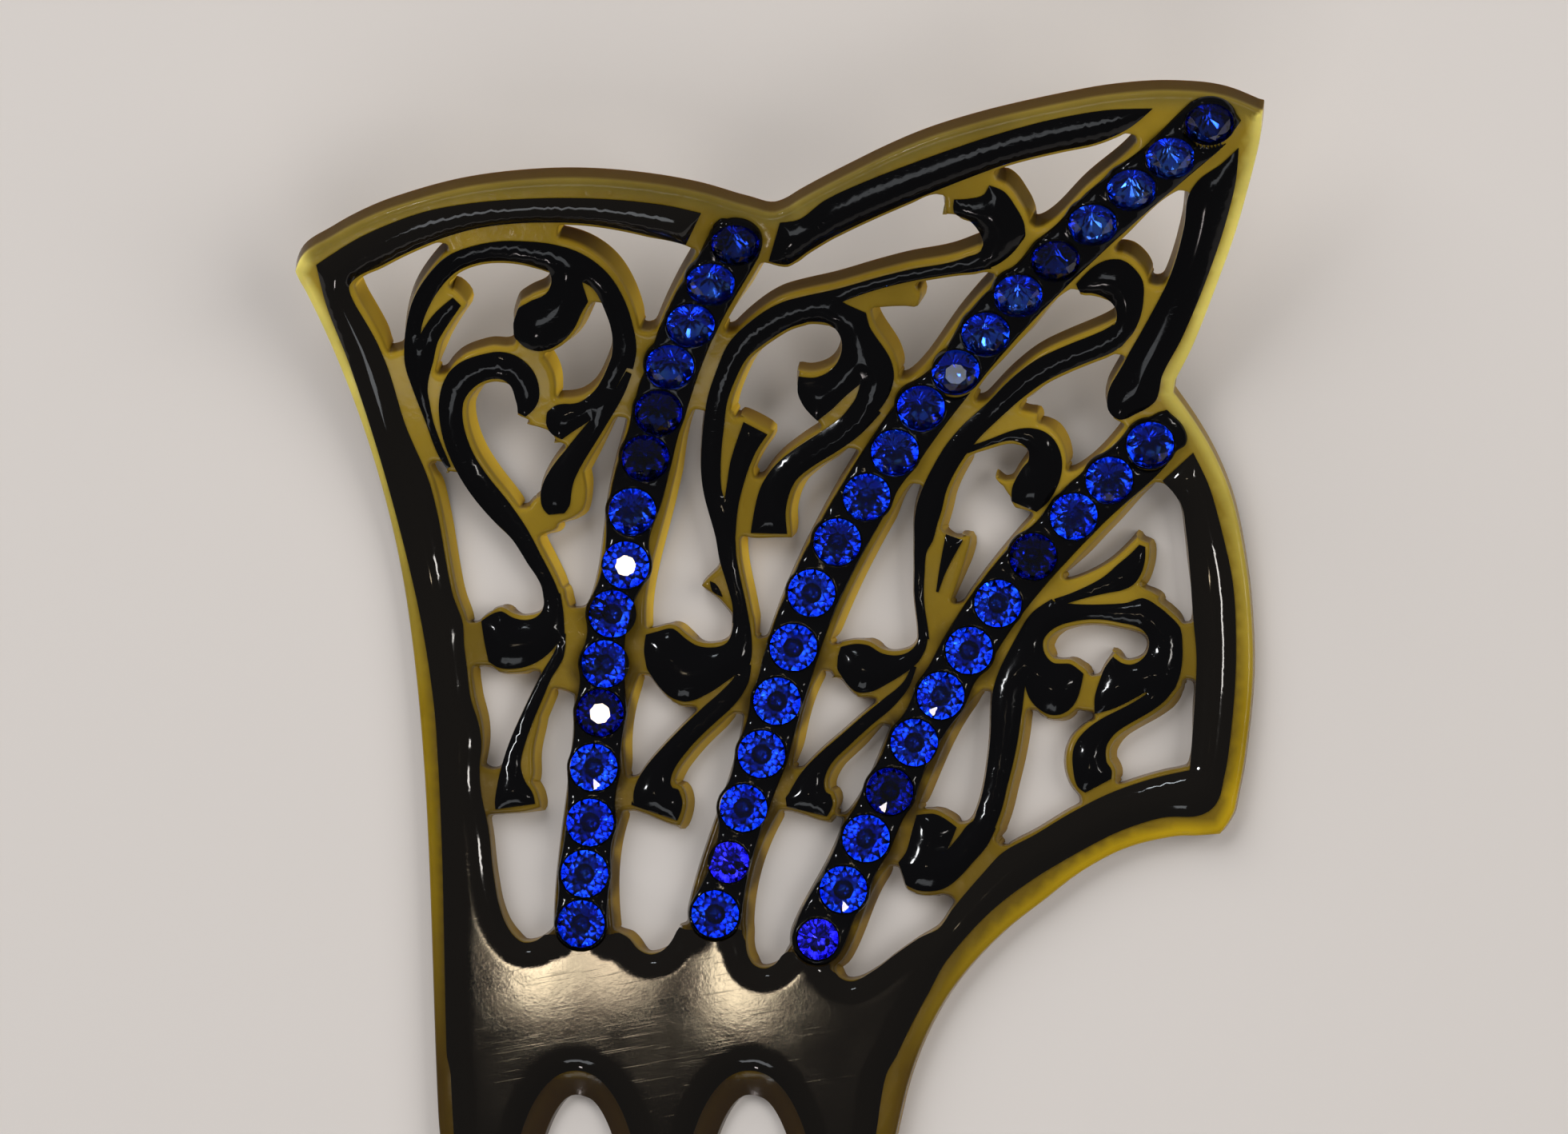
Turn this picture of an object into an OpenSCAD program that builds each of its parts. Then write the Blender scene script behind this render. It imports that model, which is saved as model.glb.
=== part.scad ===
// Mantilla comb: a pierced amber sheet with three prongs, a raised black
// relief laid on its face, and three curved runs of round faceted stones.
// The comb lies face up. X runs across the comb, Y from the prongs to the
// scalloped head, Z up from the flat back. The head curls up towards its top.

/* [Sheet] */
// Thickness of the amber sheet
sheet_t = 2.0; // [1.5:0.1:2.6]
// Height of the black relief above the sheet
relief_h = 0.75; // [0.5:0.05:1.1]
// Gap left between the relief and the sheet
lay_gap = 0.04; // [0.02:0.01:0.08]
// Amber left showing round each black stroke
margin = 0.35; // [0.25:0.05:0.45]
// Width of the amber and black frame round the openings
frame_w = 3.1; // [2.8:0.1:3.4]
// Radius that rounds the inner corners of the openings
web_r = 0.35; // [0.25:0.05:0.45]

/* [Curl of the head] */
// Height up the comb where the curl starts
curl_y = 39.94; // [36:0.01:44]
// Radius of the curl, on the face
curl_r = 50; // [46:1:60]
// Slope of the head beyond the curl, in degrees
curl_angle = 36.88; // [30:0.01:40]

/* [Prongs] */
// Length of the prongs below the plate
prong_l = 78; // [60:1:90]
// Width of a prong at half its length
prong_w = 5.4; // [4.5:0.1:6.5]
// Width of a prong just above its round tip
prong_tip_w = 3.2; // [2.6:0.1:4]
// Width of the bevel at the top of the gaps between the prongs
bevel_top = 2.1; // [1.6:0.1:2.4]
// Width of the bevel beside the top of the gaps
bevel_side = 2.6; // [2:0.1:2.8]
// Width of the bevel along the prongs
bevel_low = 1.05; // [0.8:0.05:1.2]

/* [Stones] */
// Diameter of a stone at its girdle
stone_d = 3.9; // [3.6:0.05:3.95]
// Diameter of the two flat replacement stones
small_stone_d = 3.4; // [3.2:0.05:3.6]
// Table of a stone as a share of its diameter
table_share = 0.46; // [0.4:0.02:0.56]
// Height of the crown above the girdle
crown_h = 0.75; // [0.6:0.05:0.9]
// Thickness of the girdle
girdle_h = 0.3; // [0.2:0.05:0.4]
// Width of the black channel that holds a run of stones
channel_w = 4.35; // [4.2:0.05:4.5]
// Amber left showing on each side of a channel
channel_margin = 0.45; // [0.35:0.05:0.5]

/* [Hidden] */

amber = "goldenrod";
black = "#15151a";
blue = "royalblue";

facet = 1.0;       // length of a facet along a smooth outline
seat_gap = 0.05;   // clearance round a stone in its seat
seat_floor = 0.2;  // black left under a stone
joint_gap = 0.1;   // clearance between black pieces side by side
reach = 100;       // more than the comb's reach from the origin
bore_fn = 48;      // sides of a round seat

// Outline tables. Columns: x, y, corner (1 = sharp, 0 = smooth)

// Silhouette of the whole head
HEAD = [
    [-16.9, -17, 1], [-17.2, -12.5, 0], [-18.0, -7.5, 0], [-18.7, -3, 0], [-18.95, 3, 0], [-19.0, 12, 0],
    [-19.1, 20, 0], [-19.7, 30, 0], [-21.1, 40, 0],
    [-23.5, 50, 0], [-26.7, 60, 0], [-28.6, 65, 0], [-29.7, 67.8, 0], [-29.2, 69.2, 0], [-26.5, 71.0, 0],
    [-23, 72.7, 0], [-20, 73.7, 0], [-16, 74.7, 0], [-11.5, 75.3, 0], [-7, 75.5, 0], [-2, 75.2, 0],
    [3, 74.4, 0], [7, 73.3, 0], [9.2, 72.85, 0], [11.2, 73.8, 0], [14, 75.2, 0], [17, 76.7, 0],
    [21, 78.4, 0], [26, 79.9, 0], [31, 81.0, 0], [36, 81.9, 0], [41, 82.2, 0], [45, 81.8, 0],
    [48.0, 80.7, 1], [47.9, 77.5, 0], [47.3, 74.5, 0], [46.2, 70, 0], [44.5, 65, 0], [43.0, 61, 0],
    [41.6, 58.2, 1], [43.2, 56.0, 0], [45.0, 53, 0], [46.3, 50, 0], [47.5, 45, 0], [48.2, 39, 0],
    [48.3, 35, 0], [47.9, 30, 0], [47.1, 25, 0], [46.4, 22.6, 0], [45.2, 21.6, 0], [42, 21.25, 0],
    [38, 20.3, 0], [34, 18.2, 0], [31, 15.9, 0], [28.2, 13.7, 0], [25.6, 11.1, 0], [23.5, 8.4, 0],
    [21.6, 5, 0], [20.1, 1, 0], [19.2, -3, 0], [18.3, -7.5, 0], [17.4, -12.5, 0], [17.0, -17, 1]];

// Black plate with the strips that run up both sides of the head
PLATE = [
    [-15.85, -17, 1], [-16.15, -12.5, 0], [-16.75, -7.5, 0], [-17.15, -3, 0], [-17.4, 4, 0],
    [-17.55, 12, 0], [-17.7, 20, 0], [-18.1, 26, 0], [-18.5, 30, 0],
    [-20.05, 40, 0], [-22.6, 50, 0], [-25.5, 60, 0], [-27.3, 65, 0], [-27.9, 67.8, 1], [-26, 69.0, 0],
    [-24.6, 69.8, 0], [-22, 70.95, 0], [-19, 71.95, 0], [-15, 72.65, 0], [-11, 72.95, 0], [-6, 73.0, 0],
    [-2, 72.75, 0], [1, 72.35, 0], [3.25, 71.85, 1], [2.0, 69.4, 1], [0, 69.9, 0], [-3, 70.6, 0],
    [-6, 71.05, 0], [-9, 71.15, 0], [-12, 71.05, 0], [-15, 70.65, 0], [-18, 69.8, 0], [-20.5, 68.8, 0],
    [-23, 67.6, 0], [-24.7, 66.8, 0], [-25.3, 66.1, 0], [-25.1, 65.2, 0], [-24.3, 63.7, 0],
    [-23.3, 61.9, 0], [-22.5, 60, 0], [-21, 55, 0], [-19.0, 50, 0], [-18.3, 47, 0], [-17.8, 44, 0],
    [-17.2, 41, 0], [-16.4, 38.7, 0], [-16.3, 37, 0], [-16.05, 35, 0], [-15.8, 32.8, 0],
    [-15.2, 30.4, 0], [-15.1, 29, 0], [-15.3, 27, 0], [-15.2, 25, 0], [-14.6, 22, 0], [-14.15, 18, 0],
    [-13.6, 15.2, 0], [-12.8, 13.4, 0], [-11.5, 12.3, 0], [-10.2, 12.5, 0], [-9.3, 13.2, 1],
    [-3.9, 13.2, 1], [-3.1, 12.8, 0], [-2.2, 11.8, 0], [-1.0, 11.3, 0], [0.3, 11.8, 0], [1.5, 13.6, 1],
    [6.5, 13.6, 1], [6.6, 11.8, 0], [7.2, 10.6, 0], [8.3, 10.15, 0], [9.6, 10.8, 0], [10.2, 11.8, 1],
    [13.8, 11.8, 1], [13.7, 10.4, 0], [14.3, 9.5, 0], [15.5, 9.1, 0], [17, 9.75, 0], [19, 11.2, 0],
    [21, 12.6, 0], [22.6, 13.6, 0], [23.6, 15.1, 0], [24.9, 16.7, 0], [26.3, 18.3, 0], [27.7, 19.8, 0],
    [30.5, 21.4, 0], [33.3, 23.1, 0], [36.9, 24.9, 0], [40.5, 26.1, 0], [43.2, 26.7, 1],
    [43.35, 29, 0], [43.65, 33, 0], [43.75, 36, 0], [43.5, 39, 0], [43.25, 42.5, 0], [42.9, 46, 0],
    [42.4, 48.6, 0], [40.9, 50.4, 1], [43.4, 52.7, 1], [44.6, 50.3, 0], [45.8, 46.3, 0],
    [46.7, 42.3, 0], [47, 37.5, 0], [46.6, 30, 0], [46.0, 26, 0], [45.4, 24.0, 0], [44.6, 23.25, 0],
    [41, 22.8, 0], [37.5, 21.7, 0], [34, 19.9, 0], [30, 17.5, 0], [27, 15.2, 0], [24.5, 12.6, 0],
    [22, 9.25, 0], [20, 5.65, 0], [18.4, 2.0, 0], [17.5, -3, 0], [16.8, -7.5, 0], [16.3, -12.5, 0],
    [15.95, -17, 1]];

// Strip under the scalloped top edge, right of the notch
TOP_STRIP = [
    [9.6, 71.1, 1], [8.7, 68.1, 1], [10.2, 67.85, 0], [11.6, 68.7, 0], [13.6, 69.9, 0], [16, 71.0, 0],
    [20, 72.75, 0], [24, 74.3, 0], [28, 75.75, 0], [32, 76.7, 0], [35.2, 77.4, 0], [37.6, 78.5, 0],
    [39.3, 79.9, 1], [36, 79.8, 0], [32, 79.2, 0], [27, 77.95, 0], [22, 76.3, 0], [17, 74.5, 0],
    [13, 72.7, 0], [11, 71.3, 0]];

// Strip down the right side of the tip
TIP_STRIP = [
    [46.3, 76.9, 1], [44.9, 75.6, 0], [43.3, 74.5, 0], [42.5, 73.4, 0], [42.2, 71, 0], [41.2, 67, 0],
    [39.3, 63.1, 0], [37.5, 59.8, 0], [36.3, 57.2, 0], [36.4, 56.2, 0], [37.3, 55.4, 0],
    [38.6, 55.85, 0], [40.3, 57.0, 0], [40.7, 58.8, 0], [42.2, 61.8, 0], [44.0, 66.3, 0],
    [45.6, 71.5, 0], [46.2, 74.5, 0]];

// Bulb inside the ring of the left scroll
LEFT_BULB = [
    [-12.0, 62.1, 1], [-12.05, 63.2, 0], [-11.6, 64.4, 1], [-10.5, 65.0, 0], [-9.4, 65.5, 0],
    [-8.9, 66.5, 0], [-9.3, 67.9, 1], [-7.5, 68.2, 1], [-6.6, 67.3, 1], [-6.3, 66.0, 0],
    [-5.95, 64.9, 1], [-6.5, 64.0, 0], [-7.1, 62.8, 0], [-8.4, 61.5, 0], [-10, 60.95, 0],
    [-11.2, 61.3, 0]];
// Short stroke that turns in under the ring
LEFT_TURN = [
    [-4.6, 59.3, 0], [-5.4, 57.9, 0], [-6.8, 56.8, 0], [-8.8, 56.5, 0], [-9.4, 56.0, 1],
    [-9.5, 55.1, 0], [-9.0, 54.2, 0], [-8.2, 53.8, 1], [-7.2, 54.5, 0], [-5.6, 55.6, 0],
    [-4.2, 57.3, 0], [-3.2, 59.0, 1], [-2.5, 60.2, 1], [-4.0, 60.8, 1]];
// Leaf at the foot of the left stem
LEFT_LEAF = [
    [-14.9, 38.9, 1], [-14.0, 39.5, 0], [-13.2, 39.7, 0], [-12.5, 39.3, 0], [-11.3, 39.0, 0],
    [-10.3, 39.3, 0], [-9.8, 40.0, 0], [-9.75, 41.0, 1], [-8.4, 41.2, 1], [-8.15, 39.6, 0],
    [-8.05, 37.9, 1], [-9.2, 36.4, 0], [-10.6, 35.4, 0], [-12.2, 35.0, 0], [-13.6, 35.15, 0],
    [-14.3, 35.6, 1], [-14.6, 37.0, 0]];

// Bulb at the top of the middle scroll
MIDDLE_CROWN = [
    [23.6, 71.9, 0], [23.6, 72.9, 1], [25.0, 73.0, 0], [26.0, 73.3, 0], [26.4, 74.0, 1],
    [27.5, 73.6, 0], [28.6, 72.3, 0], [29.3, 71.0, 0], [29.4, 70.1, 1], [28.7, 69.1, 0],
    [27.6, 68.1, 0], [26.2, 67.45, 0], [24, 67.15, 1], [24, 68.1, 1], [25.5, 68.5, 0],
    [26.0, 69.4, 0], [25.6, 70.5, 0], [24.7, 71.4, 0]];
// Bulb inside the arch of the middle scroll
MIDDLE_BULB = [
    [12.0, 65.0, 1], [14.5, 64.9, 1], [16.6, 64.0, 1], [16.9, 62.9, 0], [17.7, 61.7, 0],
    [18.6, 60.3, 0], [18.9, 59.0, 0], [18.5, 57.4, 0], [17.5, 55.9, 0], [16.4, 54.7, 1],
    [14.6, 55.6, 1], [15.7, 56.9, 0], [16.15, 58.3, 1], [15.0, 57.35, 0], [13.8, 56.2, 0],
    [12.65, 55.3, 1], [11.6, 56.4, 0], [11.05, 57.6, 0], [11.1, 58.9, 1], [12.4, 58.8, 0],
    [13.6, 59.3, 0], [14.4, 60.3, 0], [14.65, 61.5, 0], [14.3, 62.5, 0], [13.4, 63.2, 0],
    [12.0, 63.3, 1]];
// Leaf at the foot of the middle stem
MIDDLE_LEAF = [
    [-1.4, 37.8, 1], [-0.3, 38.1, 0], [0.8, 38.3, 0], [1.6, 37.7, 0], [2.6, 37.0, 0],
    [4.0, 36.75, 0], [5.2, 37.1, 0], [5.7, 38.2, 0], [5.8, 39.4, 1], [7.05, 39.2, 1],
    [7.3, 37.2, 0], [7.2, 35.6, 0], [6.7, 34.4, 1], [6.1, 34.6, 1], [5.0, 33.8, 0],
    [3.4, 32.8, 0], [1.8, 32.3, 0], [0.6, 32.7, 0], [-0.6, 33.9, 0], [-1.3, 35.0, 1],
    [-1.55, 36.4, 0]];

// Bulb at the top of the inner scroll
INNER_CROWN = [
    [33.6, 66.3, 1], [34.9, 67.6, 0], [35.8, 68.1, 0], [37.2, 68.2, 0], [38.3, 67.5, 0],
    [39.0, 66.5, 0], [39.1, 65.3, 0], [38.9, 63.8, 0], [38.3, 62.4, 0], [37.2, 61.2, 1],
    [35.9, 62.4, 1], [36.8, 63.1, 0], [36.9, 64.2, 0], [36.0, 65.2, 0], [34.8, 65.6, 0],
    [33.9, 65.7, 0]];
// Leaf at the foot of the inner stem
INNER_LEAF = [
    [14.6, 36.8, 1], [15.8, 37.05, 0], [16.9, 36.9, 0], [17.8, 36.35, 0], [18.9, 36.1, 0],
    [20.0, 36.3, 0], [20.9, 37.3, 0], [21.0, 38.2, 1], [21.8, 38.0, 1], [21.5, 36.5, 0],
    [20.8, 35.4, 0], [19.8, 34.6, 1], [18.3, 33.7, 0], [17.0, 33.1, 0], [15.9, 33.1, 0],
    [14.9, 34.0, 0], [14.3, 35.0, 1], [14.35, 36.0, 0]];

// Open ring of the right scroll
RIGHT_RING = [
    [30.4, 38.8, 1], [31.9, 40.5, 1], [34, 40.3, 0], [36.5, 40.3, 0], [38.2, 40.45, 0],
    [39.3, 40.8, 0], [40.5, 40.2, 0], [41.6, 39.3, 0], [42.4, 38.4, 0], [42.6, 37, 0],
    [42.5, 35, 0], [42.0, 33.4, 0], [40.9, 32.2, 1], [39.6, 33.1, 1], [38.0, 32.2, 0],
    [36.6, 31.6, 0], [35.4, 31.3, 1], [35.4, 32.6, 0], [35.8, 34.0, 0], [36.3, 35.2, 0],
    [36.9, 36.0, 1], [37.6, 35.5, 0], [38.4, 35.35, 0], [39.3, 35.8, 0], [39.8, 36.6, 0],
    [39.8, 37.5, 0], [39.3, 38.2, 0], [37.6, 38.75, 0], [35.5, 39.05, 0], [33.6, 38.85, 0],
    [32.0, 38.25, 0], [31.2, 37.3, 0], [31.3, 36.3, 0], [32.0, 35.5, 0], [33.4, 35.4, 0],
    [34.5, 34.6, 1], [34.2, 33.2, 0], [33.6, 31.9, 0], [32.6, 31.25, 0], [31.5, 31.3, 0],
    [30.7, 31.8, 1], [29.8, 33.2, 1], [29.4, 35.5, 1]];
// Leaf at the foot of the right stem
RIGHT_LEAF = [
    [20.8, 23.0, 1], [22.3, 23.1, 0], [23.3, 22.6, 0], [24.1, 22.0, 1], [23.7, 21.0, 0],
    [23.3, 20.1, 1], [24.3, 21.3, 0], [25.1, 22.3, 1], [26.3, 23.2, 1], [27.3, 21.9, 1],
    [26.6, 20.5, 0], [25.4, 19.1, 0], [24.2, 17.8, 0], [23.1, 17.0, 0], [21.9, 16.75, 0],
    [20.7, 16.9, 0], [19.9, 17.3, 1], [19.6, 18.3, 0], [19.3, 19.1, 1], [19.9, 19.9, 0],
    [20.3, 21.2, 0]];

// Black ends of the channels, beyond their first stones
LEFT_END = [
    [4.2, 70.9, 1], [4.9, 71.45, 0], [6.3, 71.15, 0], [7.9, 70.55, 0], [8.15, 69.6, 0], [7.9, 68.4, 1],
    [4.4, 68.4, 1]];
MIDDLE_END = [
    [41.8, 79.2, 1], [43.1, 80.6, 0], [44.6, 80.7, 0], [45.7, 79.9, 0], [46.4, 79.0, 1], [45.3, 77.7, 1],
    [43.5, 77.2, 1]];
RIGHT_END = [
    [38.2, 54.6, 1], [40.5, 56.0, 0], [41.2, 56.2, 1], [42.9, 53.8, 0], [42.8, 53.4, 1], [41.2, 52.2, 1],
    [39, 52, 1]];

// Amber spike with a black eye, on the middle stem
THORN = [
    [2.75, 41.85, 1], [3.6, 42.7, 0], [4.3, 43.4, 1], [5.4, 42.8, 1], [6.0, 39.6, 1], [5.4, 39.4, 1],
    [4.2, 40.8, 0]];
THORN_EYE = [[3.85, 42.2, 1], [4.3, 42.0, 0], [4.9, 40.9, 1], [4.1, 41.3, 0]];
// Amber point of the hook on the inner scroll
HOOK_TIP = [
    [27.1, 50.75, 1], [28.1, 50.35, 0], [29.0, 50.5, 1], [31, 51, 1], [30.6, 47.6, 1], [29.2, 48.15, 0],
    [28.1, 49.0, 0], [27.5, 49.9, 0]];

// Stroke tables. Columns: x, y, width

LEFT_RING = [
    [-17.5, 51.5, 0.4], [-18.05, 52.6, 0.6], [-18.95, 55, 0.6], [-19.75, 58, 1.2], [-20.2, 60, 1.5],
    [-20.3, 61.6, 1.3], [-20.1, 63.1, 1.25], [-19.5, 64.8, 1.4], [-18.4, 66.5, 1.4], [-16.9, 67.9, 1.4],
    [-15.1, 68.6, 1.35], [-13, 68.9, 1.5], [-11, 68.8, 1.7], [-9, 68.4, 2.1], [-7, 67.8, 2.1],
    [-5.0, 66.6, 1.7], [-3.8, 64.6, 1.8], [-3.2, 62.7, 1.8], [-3.05, 61, 1.95], [-3.3, 59.7, 1.9]];
LEFT_BRANCH = [
    [-16.6, 64.9, 0.9], [-17.9, 63.5, 1.4], [-18.9, 62.0, 1.5], [-19.4, 60.3, 1.6],
    [-19.65, 58.6, 1.2], [-19.5, 57.4, 0.7]];
LEFT_BLADE = [
    [-2.7, 59.2, 0.5], [-3.4, 57.8, 0.8], [-4.6, 56.0, 1.1], [-6.0, 54.1, 1.5], [-7.3, 52.3, 1.8],
    [-8.3, 50.7, 2.2], [-8.75, 49.3, 2.5], [-8.75, 48.4, 2.3], [-8.7, 47.7, 1.3]];
LEFT_STEM = [
    [-11.5, 55.8, 0.7], [-11.05, 57.0, 1.9], [-11.35, 58.6, 2.2], [-12.7, 59.7, 2.2],
    [-14.6, 59.6, 2.1], [-16.4, 58.6, 2.3], [-17.2, 57.0, 2.0], [-17.25, 55.4, 1.9],
    [-16.9, 53.7, 1.9], [-16.2, 52.0, 1.9], [-15.1, 50.2, 2.0], [-13.5, 48.2, 2.0],
    [-11.7, 46, 1.5], [-10.55, 44, 1.3], [-9.4, 41.9, 1.15], [-9.0, 40.4, 1.5]];
LEFT_FOOT = [
    [-8.1, 37.9, 0.3], [-8.6, 36.0, 0.9], [-9.5, 34.5, 0.9], [-10.2, 33.0, 1.0], [-11.1, 31.0, 1.1],
    [-11.9, 29.0, 1.25], [-12.4, 27.2, 1.5], [-12.4, 25.5, 2.4], [-12.2, 24.4, 3.2],
    [-12.1, 23.7, 3.3]];

MIDDLE_ARCH = [
    [26.5, 68.3, 1.6], [24, 67.65, 1.0], [20, 66.95, 0.9], [17, 66.2, 0.9], [14.5, 65.4, 1.1],
    [12, 64.4, 2.0], [10, 63.8, 2.1], [8, 62.6, 2.1], [6.2, 61.0, 1.9], [5.2, 59.0, 1.7],
    [4.5, 57.0, 1.65], [4.2, 55, 1.7], [4.0, 53, 1.65], [3.95, 51, 1.6], [4.1, 49.5, 1.5],
    [4.6, 47.8, 1.6], [5.1, 46, 1.6], [5.35, 44, 1.4], [5.85, 42, 1.2], [6.3, 40, 1.15],
    [6.4, 38.8, 1.4]];
MIDDLE_BRANCH = [
    [7.6, 54.7, 2.2], [6.9, 53.3, 1.8], [6.3, 51.7, 1.6], [5.95, 50.2, 1.35], [5.65, 48.7, 1.2],
    [5.5, 47.2, 1.1], [5.45, 45.5, 1.0]];
MIDDLE_HANGER = [
    [16.9, 56.7, 2.4], [15.5, 55.0, 2.1], [13.6, 53.6, 2.05], [11.7, 52.4, 2.0], [10.1, 51.1, 2.1],
    [9.2, 49.6, 2.4], [8.8, 48.0, 2.55], [8.7, 46.1, 3.0]];
MIDDLE_FOOT = [
    [6.85, 35.4, 0.8], [6.6, 34.4, 1.1], [5.6, 32.9, 1.5], [4.0, 31.4, 1.6], [2.4, 29.9, 1.6],
    [1.1, 28.5, 1.7], [0.0, 27.1, 2.0], [-0.6, 25.9, 2.6], [-0.7, 24.9, 3.5], [-0.45, 24.1, 4.1],
    [-0.7, 23.2, 4.0]];

INNER_STEM = [
    [37.2, 62.4, 1.7], [36.4, 61.8, 1.9], [35, 61.2, 1.9], [33, 60.4, 1.9], [31, 59.45, 1.9],
    [29, 58.0, 1.8], [27, 56.1, 1.6], [25.1, 54.3, 1.7], [23.9, 52.8, 1.8], [23.0, 51.3, 1.8],
    [22.3, 49.8, 1.9], [21.85, 48.3, 2.1], [21.55, 47, 1.9], [21.4, 45.8, 1.6], [21.1, 44.5, 1.0],
    [21.05, 43, 0.85], [21.0, 41.5, 0.8], [21.1, 40, 0.75], [21.3, 38.6, 0.8], [21.4, 37.4, 0.9]];
INNER_HOOK = [
    [24.9, 52.9, 0.5], [26.9, 53.6, 0.5], [28.6, 54.1, 0.8], [29.8, 54.0, 1.5], [30.9, 53.3, 2.3],
    [31.3, 51.9, 2.8], [30.7, 50.4, 3.3], [30.0, 49.2, 3.1], [29.6, 48.3, 2.2]];
INNER_FOOT = [
    [20.6, 35.2, 0.4], [20.0, 33.8, 0.6], [18.6, 32.3, 1.0], [16.8, 30.8, 1.05], [14.9, 29.1, 1.1],
    [13.3, 27.6, 1.3], [12.4, 26.3, 1.9], [12.0, 25.1, 2.8], [12.0, 24.2, 3.9], [11.8, 23.3, 3.4]];
INNER_BLADE = [
    [23.9, 45.8, 1.5], [23.4, 44.4, 1.0], [22.9, 42.9, 0.55], [22.5, 41.3, 0.2]];

RIGHT_STEM = [
    [32.2, 40.4, 0.9], [30.9, 39.1, 1.6], [29.9, 37.3, 1.9], [29.2, 35.6, 2.3], [28.6, 34.2, 2.4],
    [28.3, 32.8, 2.6], [28.15, 31.3, 2.5], [28.0, 29.5, 2.3], [27.7, 27.5, 2.1], [27.3, 25.5, 1.9],
    [26.9, 23.8, 1.9], [26.3, 22.2, 1.9]];
RIGHT_HANGER = [
    [41.6, 34.0, 1.3], [40.7, 32.9, 1.4], [39.5, 32.0, 1.4], [38.1, 31.2, 1.4], [36.7, 30.4, 1.6],
    [35.6, 29.4, 2.1], [35.0, 28.2, 2.7], [35.0, 27.1, 2.8], [35.4, 26.0, 3.1], [35.7, 25.4, 2.4]];
RIGHT_BLADE = [
    [32.2, 40.4, 0.7], [33.4, 40.8, 0.7], [34.8, 41.3, 0.9], [36.4, 41.9, 1.4], [37.9, 42.7, 2.1],
    [38.8, 43.9, 1.5], [39.3, 45.1, 0.5]];

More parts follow.
